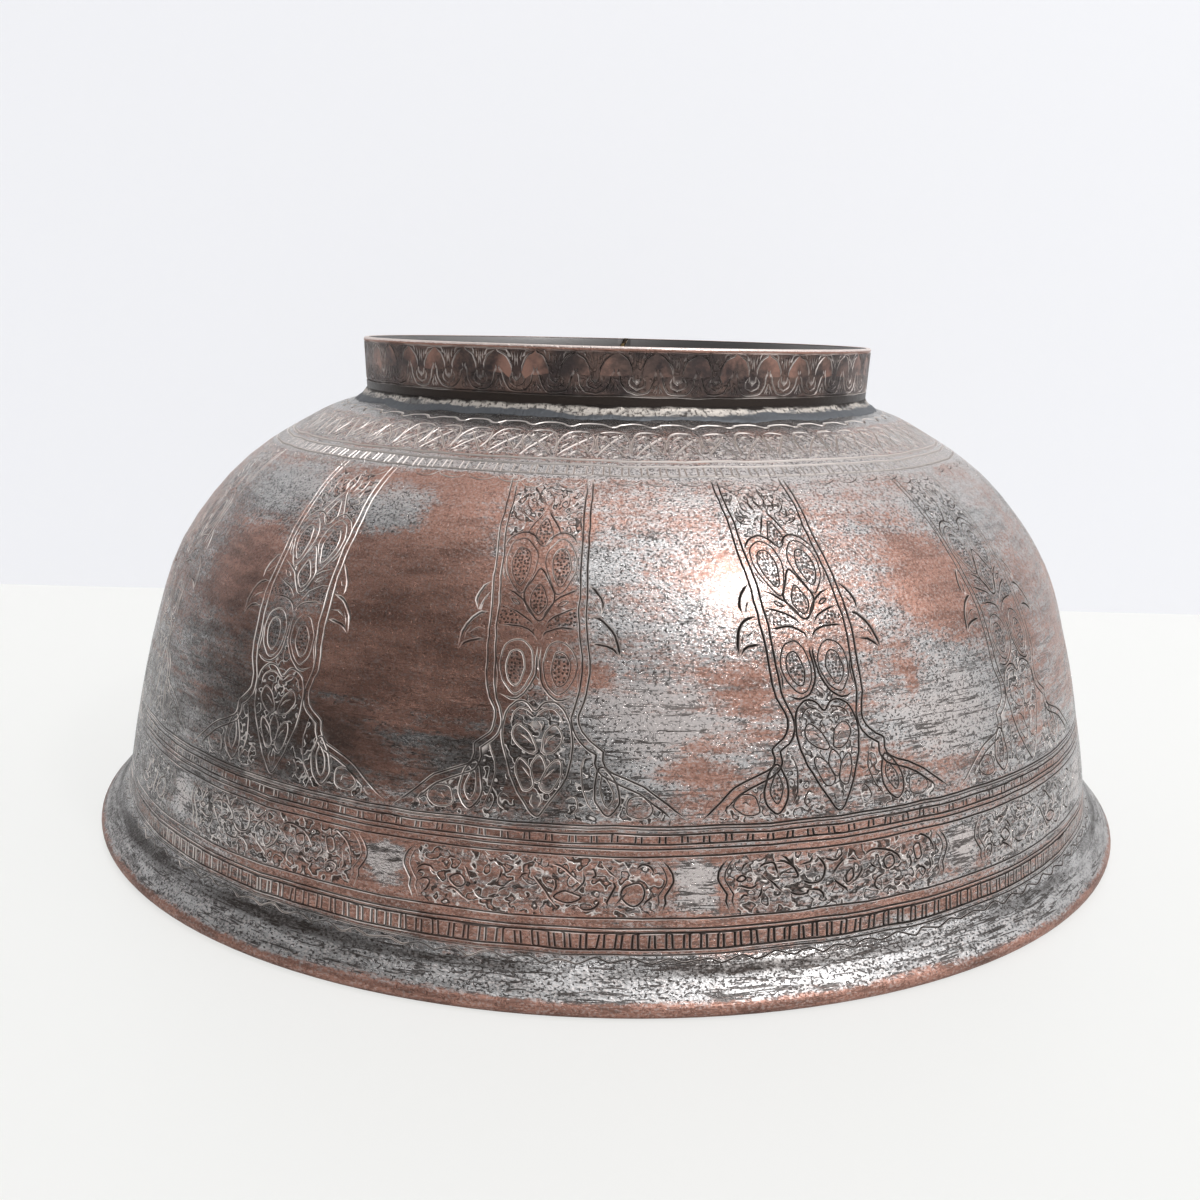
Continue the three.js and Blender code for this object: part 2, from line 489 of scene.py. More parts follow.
# Scrollwork of the cartouches, about the middle of each, as two designs that take turns
SCROLL_REACH = 21.4       # half the width that they are drawn for
SCROLL_ONE = [
    [(2.4, 29.9), (4.4, 29.3), (6.4, 27.4), (9.2, 24.9)],
    [(-0.7, 27.7), (0.7, 26.0), (2.4, 23.4), (4.1, 21.1)],
    [(11.2, 30.7), (12.9, 29.1), (15.3, 26.9)],
    [(-13.6, 28.3), (-12.5, 27.1), (-11.5, 24.8)],
    [(-3.4, 25.5), (-2.4, 27.2), (-0.7, 27.7)],
    [(2.4, 27.6), (3.4, 26.6), (3.4, 25.0), (2.7, 24.0)],
    [(1.4, 26.3), (2.4, 27.0), (3.4, 26.9)],
    [(-2.0, 22.4), (-0.8, 24.0)],
    [(13.6, 27.2), (14.1, 26.0), (13.2, 24.3), (12.2, 22.7), (12.5, 21.4)],
    [(12.9, 21.4), (14.3, 23.0), (15.6, 24.3), (16.9, 25.8)],
    [(20.3, 24.9), (20.0, 23.6), (19.0, 22.7), (18.3, 21.4)],
    [(-22.0, 25.4), (-20.7, 26.9), (-19.0, 27.0), (-18.3, 25.8)],
    [(-21.6, 24.6), (-20.8, 25.9), (-19.3, 26.1)],
    [(-22.0, 23.2), (-20.3, 24.5), (-19.0, 24.1), (-19.3, 22.5), (-20.7, 21.6)],
    [(-20.4, 21.5), (-20.2, 23.4)],
    [(-21.2, 21.6), (-21.4, 23.0)],
    [(-19.6, 21.8), (-19.1, 23.4)],
    [(-6.8, 25.4), (-6.1, 27.2), (-6.4, 28.9)],
    [(-10.5, 27.6), (-10.2, 26.7)],
    [(-6.8, 22.3), (-8.1, 22.2), (-9.8, 22.4), (-11.2, 23.9)],
    [(-5.4, 29.9), (-5.6, 28.7), (-4.7, 27.9)],
    [(-6.8, 22.9), (-6.1, 24.2), (-4.1, 24.8)],
    [(-16.9, 22.5), (-15.0, 23.5), (-13.0, 22.2), (-11.3, 20.9)],
    [(-17.0, 28.0), (-15.8, 29.4), (-14.4, 29.0)],
    [(-9.5, 30.7), (-8.4, 29.3), (-7.6, 29.8)],
    [(5.8, 24.0), (7.2, 25.0), (8.4, 26.8), (8.0, 29.0)],
    [(8.6, 28.4), (10.0, 29.2), (10.6, 28.0), (9.6, 27.2)],
    [(17.4, 28.8), (18.6, 30.2), (20.2, 29.6), (20.8, 28.0)],
    [(-0.6, 30.4), (0.6, 29.6), (0.2, 28.8)],
    [(-3.2, 23.0), (-4.6, 21.6), (-3.8, 20.7)],
    [(6.6, 22.0), (8.8, 21.2), (10.6, 22.0), (11.2, 23.8)],
]
LEAVES_ONE = [
    [(3.1, 23.5), (5.1, 24.6), (7.8, 23.5), (5.4, 22.4)],
    [(15.9, 25.9), (18.0, 26.6), (19.0, 24.8), (18.3, 22.8), (16.9, 21.9), (15.3, 22.8), (14.9, 24.3)],
    [(-15.6, 25.4), (-13.9, 26.4), (-12.7, 24.8), (-14.2, 23.8)],
]
SCROLL_TWO = [
    [(-21.4, 25.3), (-19.8, 25.4), (-17.8, 24.9), (-16.1, 25.8)],
    [(-16.4, 28.0), (-14.7, 26.3), (-12.7, 24.3), (-11.0, 22.1)],
    [(-16.5, 28.1), (-15.1, 29.2), (-13.4, 29.3), (-12.9, 28.0), (-12.4, 26.3)],
    [(-15.7, 25.4), (-16.0, 23.8), (-17.1, 22.2)],
    [(-12.4, 31.0), (-11.0, 30.2), (-10.0, 28.9), (-9.7, 30.4), (-9.4, 31.3)],
    [(-13.4, 29.3), (-11.4, 29.5), (-9.4, 28.0), (-9.0, 26.4), (-11.0, 26.1)],
    [(-6.0, 30.3), (-6.6, 29.1), (-9.3, 28.5)],
    [(-5.7, 30.6), (-4.3, 28.7), (-4.0, 26.9), (-5.0, 25.1), (-7.0, 25.0), (-8.7, 26.2)],
    [(-4.3, 29.8), (-3.0, 29.0), (-1.6, 28.9), (0.1, 30.6)],
    [(0.4, 28.9), (-1.0, 28.2), (-2.3, 26.6), (-2.7, 25.6)],
    [(-0.3, 28.9), (1.8, 28.6), (3.4, 27.8)],
    [(4.1, 28.0), (3.8, 26.0), (2.4, 24.2), (-0.3, 22.4)],
    [(-2.3, 25.6), (-1.6, 24.0), (0.4, 22.6), (1.0, 21.6)],
    [(3.8, 28.3), (6.1, 29.7), (9.2, 29.3), (11.5, 27.9), (12.5, 25.8)],
    [(5.1, 28.0), (6.5, 26.4), (7.5, 25.6)],
    [(-7.3, 24.0), (-7.7, 22.9), (-9.7, 22.9), (-11.4, 23.9)],
    [(-8.4, 23.6), (-5.7, 23.6), (-4.3, 22.5), (-4.3, 21.2)],
    [(9.9, 23.6), (11.6, 22.7), (12.9, 24.0)],
    [(13.9, 27.6), (14.6, 25.6), (13.2, 24.2)],
    [(16.6, 29.9), (17.3, 30.6), (19.4, 29.4), (20.4, 27.9), (20.6, 26.2)],
    [(18.7, 27.4), (19.0, 25.8), (19.4, 24.2), (18.4, 22.9)],
    [(14.9, 23.0), (16.4, 24.4), (17.9, 23.6), (16.9, 21.9)],
    [(8.0, 21.2), (6.4, 22.4), (6.9, 24.2), (8.9, 24.8)],
    [(-20.2, 27.2), (-19.1, 29.2), (-17.7, 29.9)],
    [(-20.4, 22.0), (-19.2, 23.6), (-18.2, 23.2)],
]
LEAVES_TWO = [
    [(-20.6, 26.6), (-19.6, 27.4), (-18.8, 26.8), (-19.6, 26.2)],
    [(1.6, 26.6), (0.2, 25.4), (0.6, 23.8), (1.8, 24.9)],
    [(8.6, 27.6), (10.4, 28.0), (10.6, 26.2), (9.0, 25.6)],
    [(15.4, 28.6), (16.8, 28.9), (17.2, 26.6), (15.9, 25.9)],
]


def cartouche(d, number):
    """A long panel with bracketed ends and a scroll of stems, leaves and hooks on a hatched ground."""
    end = [(d.half - x, y) for x, y in CARTOUCHE_END]
    d.pair(end, d.main)
    d.pair([(x - 1.2, y) for x, y in end])
    scroll, leaves = ((SCROLL_ONE, LEAVES_ONE), (SCROLL_TWO, LEAVES_TWO))[number % 2]
    shrink = (d.half - 6.6) / SCROLL_REACH
    leaves = [[(x * shrink, y) for x, y in leaf] for leaf in leaves]
    for line in scroll:
        d.curve([(x * shrink, y) for x, y in line], d.main * 1.1)
    for leaf in leaves:
        d.loop(leaf, d.main)
    low, high = CARTOUCHE_LOW + 0.8, CARTOUCHE_HIGH - 0.8
    bounds = [(x - 1.9, min(max(y, low), high)) for x, y in end]
    d.ground(bounds + mirrored(bounds[::-1]), *leaves, marks=HATCHED, rounded=False)


SHAFT = [(10.6, 110.2), (10.1, 92.0), (9.65, 72.0), (9.5, 62.0)]
FLARE = [(8.7, 59.2), (8.0, 56.6), (8.6, 54.0), (10.4, 52.3), (11.9, 51.2), (11.8, 49.4),
         (12.8, 47.6), (15.2, 46.4), (19.2, 44.6), (22.8, 41.6), (25.4, 39.4), (27.3, 37.9)]
FLARE_INNER = [(7.3, 58.6), (6.7, 56.4), (7.3, 53.2), (9.5, 51.2), (10.6, 50.5), (10.5, 48.8),
               (11.8, 46.5), (14.6, 45.1), (18.4, 43.3), (21.6, 40.6), (24.0, 38.4)]


def column(d):
    """One column: a shaft with spurs, palmettes and a crown, on a flared foot with a medallion."""
    d.pair(SHAFT + FLARE, d.main)
    d.pair([(x - 1.45, y) for x, y in SHAFT] + FLARE_INNER, d.main)
    spurs(d)
    crown(d)
    palmettes(d)
    medallion(d)
    foot_fields(d)


def spurs(d):
    """The curled leaves that stand out on both sides of the shaft."""
    d.pair([(10.0, 83.4), (11.6, 82.0), (12.9, 79.4), (12.6, 76.9)], d.main * 1.3)
    d.pair([(10.0, 76.8), (12.2, 76.3), (14.2, 74.4), (15.3, 71.8), (15.7, 68.8)], d.main * 1.4)
    d.pair([(15.7, 68.8), (14.3, 70.5), (12.6, 71.2), (9.9, 71.4)], d.main * 1.3)
    d.pair([(13.3, 74.0), (14.3, 72.2), (14.7, 70.6)])
    d.pair([(11.2, 79.6), (11.6, 78.8)])
    d.pair([(11.9, 73.6), (12.7, 73.2)])


def crown(d):
    """The pointed bud at the head of the stem, with feathers fanned above it."""
    d.pair([(0, 101.2), (1.4, 98.6), (3.0, 95.8), (4.2, 93.1)], d.main)
    kernel = both_halves([(0, 98.2), (1.6, 95.2), (1.8, 93.2), (0, 91.4)])
    d.loop(kernel)
    d.ground(kernel)
    feathers = 9
    for i in range(feathers):
        lean = math.radians(-72 + 144 * i / (feathers - 1))
        root, tip = 4.2, 8.0 if i % 2 else 9.6
        belly = (root + tip) / 2
        for side in (-0.12, 0.12):
            turn = lean + side
            d.curve([(root * math.sin(turn), 96.2 + root * math.cos(turn) * 1.05),
                     (belly * math.sin(lean + side * 1.6), 96.4 + belly * math.cos(turn)),
                     (tip * math.sin(lean) * 0.92, 97.0 + tip * math.cos(lean))])
    d.pair([(1.2, 108.6), (3.4, 106.4), (6.4, 106.2), (8.8, 108.2)])
    d.pair([(4.6, 108.9), (6.0, 107.6), (7.4, 108.9)])
    d.pair([(5.2, 99.2), (6.6, 98.0), (8.3, 98.4)])
    head = [(0, 99.8), (3.2, 97.4), (5.0, 94.2), (7.6, 94.0), (8.2, 104.0), (0, 107.2)]
    d.ground(both_halves(head), marks=HATCHED)


def seeded_leaves(d, leaf, kernel):
    """A leaf on each side of the axis, with a dotted kernel in it."""
    for turn in (list, mirrored):
        d.loop(turn(leaf))
        d.loop(turn(kernel))
        d.ground(turn(kernel))


def palmettes(d):
    """The pairs of leaves on the stem, from the crown down to the waist."""
    d.pair([(0.3, 91.6), (1.9, 93.6), (4.2, 94.6), (6.8, 93.4), (8.5, 90.6)], d.main)
    leaf = [(0.8, 88.0), (1.7, 91.0), (4.0, 93.0), (6.5, 91.8), (7.7, 88.4), (6.8, 84.6), (3.8, 80.9),
            (1.9, 84.2)]
    kernel = [(2.3, 87.6), (3.3, 90.4), (5.3, 90.6), (6.5, 87.8), (5.7, 84.6), (3.9, 82.6), (2.7, 84.9)]
    seeded_leaves(d, leaf, kernel)
    d.pair([(6.4, 82.9), (7.4, 84.0), (8.3, 86.6)])
    d.loop(both_halves([(0, 86.4), (1.9, 83.4), (3.2, 80.4), (2.1, 77.6), (0, 75.6)]), d.main)
    heart = both_halves([(0, 83.0), (1.5, 80.6), (1.7, 78.7), (0, 76.8)])
    d.loop(heart)
    d.ground(heart)
    d.pair([(0.6, 75.2), (1.9, 77.9), (4.4, 80.5), (8.3, 82.2)], d.main)
    d.pair([(0.9, 74.0), (2.8, 76.2), (5.6, 77.6), (8.3, 78.4)], d.main)
    eye = [(3.9, 78.6), (4.9, 79.6), (6.0, 79.6), (5.0, 78.7)]
    d.loop(eye)
    d.loop(mirrored(eye))
    strip = [(1.5, 73.6), (3.2, 75.4), (8.0, 77.2), (8.0, 75.2), (4.6, 74.6)]
    d.ground(strip)
    d.ground(mirrored(strip))
    d.pair([(0.3, 71.4), (1.5, 73.3), (4.3, 74.3), (8.1, 74.2)], d.main)
    lobe = [(1.0, 66.2), (1.6, 69.6), (3.6, 71.5), (6.0, 70.6), (7.2, 67.4), (6.6, 63.9), (4.4, 61.4),
            (2.2, 62.8)]
    seed = [(2.5, 66.0), (3.5, 69.2), (5.3, 69.0), (6.1, 66.4), (5.3, 63.6), (3.7, 62.9)]
    seeded_leaves(d, lobe, seed)
    d.pair([(0.4, 70.6), (0.3, 67.4), (0.7, 64.2), (2.4, 61.4), (4.8, 60.3), (7.6, 61.4)], d.main)
    d.ground(both_halves([(0, 66.6), (0.6, 63.6), (2.6, 60.9), (0, 60.2)]), marks=HATCHED)
    d.pair([(8.2, 68.6), (7.5, 64.8), (7.9, 61.4)])


MEDALLION = [(0, 58.1), (1.7, 59.8), (3.6, 60.0), (5.4, 58.7), (6.3, 56.6), (6.5, 53.6), (5.8, 49.4),
             (4.3, 45.0), (2.3, 41.2), (0, 38.4)]


def medallion(d):
    """The pointed medallion at the foot of the column, with a stem of leaves in it."""
    d.loop(both_halves(MEDALLION), d.main)
    d.pair([(0, 57.0), (1.6, 58.5), (3.3, 58.6), (4.7, 57.4), (5.2, 55.4)])
    leaf = [(0.4, 50.8), (1.5, 54.2), (3.6, 55.6), (4.7, 53.6), (3.4, 51.3), (1.8, 50.4)]
    low_leaf = [(0.5, 44.2), (1.6, 47.9), (3.5, 49.2), (3.8, 46.6), (2.2, 43.2)]
    bud = both_halves([(0, 50.2), (1.2, 48.2), (1.0, 46.2), (0, 44.8)])
    shapes = [leaf, mirrored(leaf), low_leaf, mirrored(low_leaf), bud]
    for shape in shapes:
        d.loop(shape)
    d.ground(both_halves([(x * 0.86, y) for x, y in MEDALLION[1:-1]]), *shapes, marks=HATCHED)
    d.pair([(0.9, 51.8), (2.2, 53.4), (3.5, 54.0)])
    d.pair([(0.9, 45.4), (2.1, 47.0), (2.9, 47.8)])
    d.pair([(0.3, 56.6), (1.2, 55.6), (0.5, 54.4)])
    d.pair([(0.5, 42.8), (1.0, 41.2), (0.2, 39.8)])


def foot_fields(d):
    """Leaves on a hatched ground between the medallion and the flared outline."""
    leaf = [(11.7, 48.2), (10.4, 45.2), (10.4, 41.6), (12.6, 38.8), (14.7, 41.6), (14.0, 45.6)]
    kernel = [(12.0, 46.4), (11.3, 43.6), (12.6, 40.6), (13.7, 43.2)]
    far_leaf = [(16.0, 39.4), (16.4, 42.4), (18.8, 42.8), (20.6, 40.6), (18.8, 38.8)]
    field = [(8.0, 50.6), (10.4, 48.0), (15.2, 44.8), (19.0, 43.0), (23.8, 38.6), (15.0, 38.2), (4.2, 38.6),
             (6.8, 46.0)]
    for turn in (list, mirrored):
        d.loop(turn(leaf), d.main)
        d.loop(turn(kernel))
        d.loop(turn(far_leaf))
        d.ground(turn(field), turn(leaf), turn(far_leaf), marks=HATCHED)
        d.ground(turn(kernel))
    d.pair([(8.8, 51.4), (7.7, 47.4), (8.4, 42.6), (10.2, 39.2)])
    d.pair([(4.6, 41.6), (6.2, 42.6), (7.0, 40.4), (5.6, 38.9)])
    d.pair([(17.2, 40.0), (18.0, 41.4), (19.2, 41.0)])
    d.pair([(20.9, 41.6), (22.2, 40.2), (21.8, 38.6)])
    d.pair([(22.6, 39.6), (23.6, 38.6)])


def panel_scallops(d):
    """The small swags that hang from the upper ladder into each plain panel."""
    start, swags = 11.2, 2
    pitch = (d.half - start) / swags
    swag = [(0, 109.4), (0.18, 108.2), (0.5, 107.6), (0.82, 108.2), (1, 109.4)]
    for i in range(swags):
        d.pair([(start + (i + u) * pitch * 0.992, y) for u, y in swag])
        d.pair([(start + (i + 0.12 + u * 0.76) * pitch, y + 0.9) for u, y in swag[1:-1]])


# One arch of the band below the foot: across it in parts of its width, and up the wall
ARCH = [
    [(-0.46, 117.4), (-0.49, 120.6), (-0.42, 123.8), (-0.22, 126.0), (0.1, 126.3), (0.4, 125.6)],
    [(-0.3, 125.6), (-0.02, 122.6), (0.24, 119.6), (0.46, 116.4)],
    [(0.47, 124.6), (0.2, 122.8), (-0.08, 120.6), (-0.44, 116.6)],
    [(0.4, 125.6), (0.48, 122.6), (0.42, 119.8), (0.33, 118.4)],
    [(-0.34, 122.8), (-0.2, 123.8), (-0.08, 124.5), (0.06, 124.0)],
    [(0.14, 124.6), (0.27, 124.0), (0.3, 122.6)],
    [(-0.36, 119.0), (-0.3, 120.6), (-0.16, 121.8)],
    [(-0.12, 117.0), (0.02, 118.6), (0.16, 117.4)],
    [(0.2, 121.2), (0.3, 120.4), (0.32, 119.2)],
    [(-0.3, 116.5), (-0.18, 117.2), (-0.02, 116.5)],
]


def upper_bands(d):
    """The upper ladder, the band of crossing arches and the wavy line below the foot."""
    half = d.half
    d.ladder(UPPER_LADDER, 11, 1.8, d.main, d.main * 1.35)
    d.ring(115.6, d.main * 1.5)
    arches = 5
    pitch = 2 * half / arches
    for i in range(arches):
        centre = -half + (i + 0.5) * pitch
        side = -1 if i % 2 else 1
        for shape in ARCH:
            d.curve([(centre + side * x * pitch, y) for x, y in shape], d.main * 1.2)
    low, high = ARCH_BAND
    d.ground([(-half, low), (half, low), (half, high), (-half, high)], marks=HATCHED, rounded=False)
    waves = 4
    pitch = 2 * half / waves
    swell = [(0, HIGH_WAVE), (0.3, 130.8), (0.55, 130.4), (0.72, 129.1), (0.86, 129.2)]
    line = [(-half + (i + u) * pitch, y) for i in range(waves) for u, y in swell] + [(half, HIGH_WAVE)]
    d.cut(curve_through(line), d.main * 1.4, through=True)


def hand_slip(line, seed, half):
    """The graver's small slips, none at the edges of a repeat, so that the repeats meet."""
    slipped = line.copy()
    for p in slipped:
        hold = max(0.0, 1 - (p[0] / half) ** 4)
        slow = Vector((p[0] * 0.11, p[1] * 0.11, seed * 7.3))
        quick = Vector((p[0] * 0.42, p[1] * 0.42, seed * 3.1))
        across = 0.75 * noise.noise(slow) + 0.22 * noise.noise(quick)
        upwards = 0.45 * noise.noise(slow + Vector((9, 4, 2))) + 0.18 * noise.noise(quick + Vector((5, 1, 8)))
        p += (hold * across, hold * upwards)
    return slipped


def repeat_drawing(number, half, sizes):
    """The drawing of one repeat, with its own lean and its own slips."""
    lean = MEAN_LEAN + 2.2 * math.sin(number * 2.1 + 2.4)

    def steady(line):
        return hand_slip(line, number, half)

    def leaning(line):
        moved = line.copy()
        moved[:, 0] += lean * np.clip((line[:, 1] - COLUMN_FOOT) / (COLUMN_TOP - COLUMN_FOOT), 0, 1)
        return hand_slip(moved, number, half)

    d = Drawing(sizes, half, steady)
    lower_bands(d, number)
    cartouche(d, number)
    upper_bands(d)
    panel_scallops(d)
    d.place = leaning
    column(d)
    return d


def turned_from(degrees, middle):
    """Degrees from a middle, the short way round."""
    return (degrees - middle + 180) % 360 - 180


def patch_sum(degrees, up, patches):
    """Soft patches, each with a middle in degrees and millimetres, its half sizes and its strength."""
    total = np.zeros(len(degrees))
    for middle, height, wide, tall, strength in patches:
        turn = turned_from(degrees, middle)
        total += strength * np.exp(-((turn / wide) ** 2 + ((up - height) / tall) ** 2) ** 1.5)
    return total


# Where the tin is worn to bare copper, above nought, and where it is whole, below nought: degrees
# from the front, height, half sizes both ways and strength
WEAR_PATCHES = [
    (-21, 84, 9, 22, 1.2), (-22, 60, 9, 14, 1.0), (-22, 106.5, 9, 2.6, 0.8), (-26, 97, 5, 5, -1.8),
    (-13.5, 90, 2.6, 5, -0.7), (-24, 55, 6, 2.0, -1.0), (-17, 48, 6, 2.5, -0.8), (7, 86, 9, 15, -0.1),
    (2, 97, 6, 1.6, 0.8), (-1.5, 86, 2.6, 5, -0.8), (3, 65.0, 9, 0.9, 2.0), (12.5, 62.5, 2.4, 3.0, 0.9),
    (3, 75, 9, 3, -0.4), (3, 57, 8, 5.5, -1.0), (8.5, 48, 2.6, 4.0, 0.5), (0, 47, 5, 5, -0.8),
    (37.5, 80, 5.5, 13, 0.9), (29.5, 77, 3, 2.2, -1.0), (31.5, 61, 1.8, 4.5, 1.1), (36, 55, 8, 9, -1.1),
    (36, 69, 5, 1.2, -0.5), (-45, 78, 6, 12, 0.9), (-48, 98, 7, 6, -0.9), (18, 86, 7, 20, 0.1),
    (-8, 80, 5, 22, 0.7), (-35, 104, 5, 5, 0.6), (50, 96, 12, 7, -0.6), (52, 60, 6, 22, 0.1),
    (30, 114, 26, 9, -0.4), (-12, 16, 20, 4, 0.5), (-12, 27, 20, 12, 0.4), (58, 25, 24, 18, -0.6),
    (-62, 28, 26, 20, -0.9),
]
# Patina and painted light: above nought brown-black patina, and painted shade over the left and lower wall
# and along the crease above the flange; below nought tin rubbed pale, and painted light on the front right,
# strongest at the highlight
PATINA_AND_PAINTED_LIGHT_PATCHES = [
    (8, 84, 8, 13, -0.35), (3, 56, 12, 10, -0.7), (36, 54, 9, 9, -0.6), (34, 88, 8, 14, -0.2),
    (13, 83, 4, 8, -0.7), (-42, 62, 9, 20, 0.6), (-56, 78, 14, 30, 0.5), (-58, 30, 26, 28, 0.45),
    (55, 50, 10, 14, -0.2), (-8, 64, 5, 20, 0.4), (-34, 48, 10, 16, 0.7), (-7, 48, 9, 12, 0.9),
    (-25, 47, 14, 7, 0.6), (49, 70, 9, 18, 0.35), (-21, 68, 9, 24, 0.3), (11, 9.8, 9, 1.6, 1.2),
    (24, 9.8, 7, 1.1, 0.8), (-30, 9.8, 12, 1.5, 1.1), (-12, 9.6, 8, 1.3, 0.8), (45, 9.8, 10, 1.5, 0.6),
    (-55, 9.8, 9, 1.5, 1.0), (75, 9.6, 12, 1.5, 0.9), (-85, 9.6, 14, 1.5, 0.9), (110, 9.6, 12, 1.5, 1.0),
    (-125, 9.6, 16, 1.5, 0.9), (150, 9.6, 14, 1.5, 1.0), (-165, 9.6, 12, 1.5, 0.9),
]
# Bands right round the outside: lower and upper edge, softness of the edges and strength
WEAR_BANDS = [
    (0.0, 3.4, 1.0, 0.9), (4.5, 9.0, 1.0, -0.8), (8.0, 12.8, 0.8, -0.8), (13.6, 19.6, 0.6, 0.45),
    (20.0, 31.4, 0.6, 0.2), (31.4, 36.0, 0.6, 0.35), (107.0, 128.0, 2.0, 0.1), (109.5, 114.5, 0.8, -0.7),
    (128.0, 136.0, 1.5, -1.2),
]
# Bands of patina and painted light: painted shade in the crease above the flange, the upper wall painted
# paler where it faces the light overhead, and a darker band by the foot's solder
PATINA_AND_PAINTED_LIGHT_BANDS = [(8.8, 11.6, 0.9, 0.1), (100.0, 128.0, 4.0, -0.5), (130.9, 136.0, 0.6, 0.4)]
BEHIND = 58               # degrees from the front past which no photograph says how the tin is worn
INSIDE_WEAR, INSIDE_DARK = -0.55, 0.1


def wall_tones(degrees, up, repeats):
    """How worn the bowl is at places on it, and where brown-black dirt, painted shade and painted light lie
    on it. Up is below nought inside it.
    """
    wear = patch_sum(degrees, up, WEAR_PATCHES) + band_sum(up, WEAR_BANDS)
    patina_and_painted_light = patch_sum(degrees, up, PATINA_AND_PAINTED_LIGHT_PATCHES) + band_sum(up, PATINA_AND_PAINTED_LIGHT_BANDS)
    streaked = np.sin(np.radians(degrees * 3) + up / 15)
    wear += np.clip((np.abs(degrees) - BEHIND) / 20, 0, 1) * 0.5 * streaked
    gaps = gap_squares(degrees, up, repeats)
    within = up < 0
    wear = np.where(within, INSIDE_WEAR, wear - gaps * 1.3)
    patina_and_painted_light = np.where(within, INSIDE_DARK, patina_and_painted_light - gaps * 0.8)
    return wear, patina_and_painted_light


def band_sum(up, bands):
    """Bands right round the bowl, added up."""
    return sum(band(up, low, high, soft) * strength for low, high, soft, strength in bands)


def band(value, low, high, soft):
    """One between low and high, falling to nought over a soft edge."""
    return np.clip((value - low) / soft + 0.5, 0, 1) * np.clip((high - value) / soft + 0.5, 0, 1)


def gap_squares(degrees, up, repeats):
    """One on the plain squares between the cartouches, where the tin is whole."""
    pitch = 360 / repeats
    off = np.abs((degrees - FIRST_AXIS) % pitch - pitch / 2)
    return band(off, -9, 1.9, 0.3) * band(up, CARTOUCHE_LOW + 0.5, CARTOUCHE_HIGH - 0.4, 0.5)


def link(obj):
    """Puts a piece into the scene, as part of the bowl."""
    bpy.context.scene.collection.objects.link(obj)
    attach(obj, "root")
    return obj


def build_wall(bm, layers, sizes):
    """Adds the engraved wall to a bmesh, one repeat after another."""
    half = 180 / sizes.repeats * DEGREE
    rows = np.linspace(WALL_LOW, WALL_HIGH, ROWS)
    for number in range(-(sizes.repeats // 2), (sizes.repeats + 1) // 2):
        drawing = repeat_drawing(number, half, sizes)
        flat, faces, depths, worked = engrave(drawing, rows, COLUMNS, sizes.cut_slope)
        degrees = FIRST_AXIS + number * 360 / sizes.repeats + flat[:, 0] / DEGREE
        up = flat[:, 1]
        places = wall_points(degrees, up, depths * MM - hammer_marks(degrees, up, sizes.hammering))
        add_engraved(bm, layers, places, up, depths / deepest_cut(sizes), faces, worked)


def deepest_cut(sizes):
    """Depth of the middle of a main cut, in millimetres."""
    return sizes.cut_slope * sizes.outline_width / MM / 2


def add_engraved(bm, layers, places, up, cut, faces, worked):
    """Adds an engraved patch, and marks which of its faces are in a cut and how the others are worked."""
    verts = []
    for place, s, deep in zip(places, up, cut):
        v = bm.verts.new(place)
        v[layers["up"]] = s
        v[layers["cut"]] = min(1.0, deep)
        verts.append(v)
    for corners, marks in zip(faces, worked):
        face = bm.faces.new([verts[i] for i in corners])
        face[layers["kind"]] = CUT_FACE if marks == GROOVED else WALL_FACE
        face[layers["worked"]] = PLAIN if marks == GROOVED else marks


def lip_profile():
    """The rounded outer edge and the flat land that the bowl stands on."""
    steps = 10
    line = []
    for i in range(steps + 1):
        turn = math.radians(65 - 155 * i / steps)
        radius = LIP_RADIUS - LIP_CURVE + LIP_CURVE * math.cos(turn)
        line.append((radius, LIP_CURVE + LIP_CURVE * math.sin(turn), 4.0 * (1 - i / steps)))
    return line + [(LAND_RADIUS + 0.25, 0.0, 0.0), (LAND_RADIUS, 0.25, -0.4)]


def inside_profile(sheet):
    """The inside of the bowl, the sheet's thickness away from the outside."""
    line = []
    for s in np.linspace(FLANGE_START + 1.0, WALL.up[-1], 24):
        (radius, height), along = WALL.at(s), WALL.slope(s)
        inner = radius - along[1] * sheet
        if inner < LAND_RADIUS - 0.1:
            line.append((max(inner, 0.0), height + along[0] * sheet, -s))
    line[-1] = (0.0, BASE_HEIGHT - sheet, -WALL.up[-1])
    return line


def build_turned(bm, layers, sizes):
    """Adds the plain turned parts: the flange, the lip, the inside and the base."""
    start_angle = math.radians(FIRST_AXIS - 180 / sizes.repeats)
    flange = [(*WALL.at(s), s) for s in np.linspace(WALL_LOW, FLANGE_START + 0.2, 6)]
    base = [(*WALL.at(s), s) for s in np.linspace(WALL_HIGH, WALL.up[-1], 12)]
    base[-1] = (0.0, BASE_HEIGHT, WALL.up[-1])
    for profile in (flange + lip_profile() + inside_profile(sizes.sheet / MM), base):
        turn_profile(bm, layers, profile, start_angle, COLUMNS * sizes.repeats)


def turn_profile(bm, layers, profile, start_angle, steps, angle=FULL_TURN, closed=False):
    """Turns an outline of radius, height and distance along it about the bowl's axis."""
    sine, cosine = math.sin(start_angle), math.cos(start_angle)
    verts = []
    for radius, height, s in profile:
        v = bm.verts.new((radius * MM * sine, -radius * MM * cosine, height * MM))
        v[layers["up"]] = s
        verts.append(v)
    edges = [bm.edges.new(pair) for pair in zip(verts, verts[1:] + verts[:1] if closed else verts[1:])]
    bmesh.ops.spin(bm, geom=verts + edges, cent=(0, 0, 0), axis=(0, 0, 1), dvec=(0, 0, 0), angle=angle,
                   steps=steps, use_merge=angle == FULL_TURN, use_normal_flip=False, use_duplicate=False)


def new_layers(bm):
    """What each corner and face of a piece keeps for its finish."""
    return {
        "up": bm.verts.layers.float.new("up"),
        "cut": bm.verts.layers.float.new("cut"),
        "kind": bm.faces.layers.int.new("kind"),
        "worked": bm.faces.layers.float.new("worked"),
    }


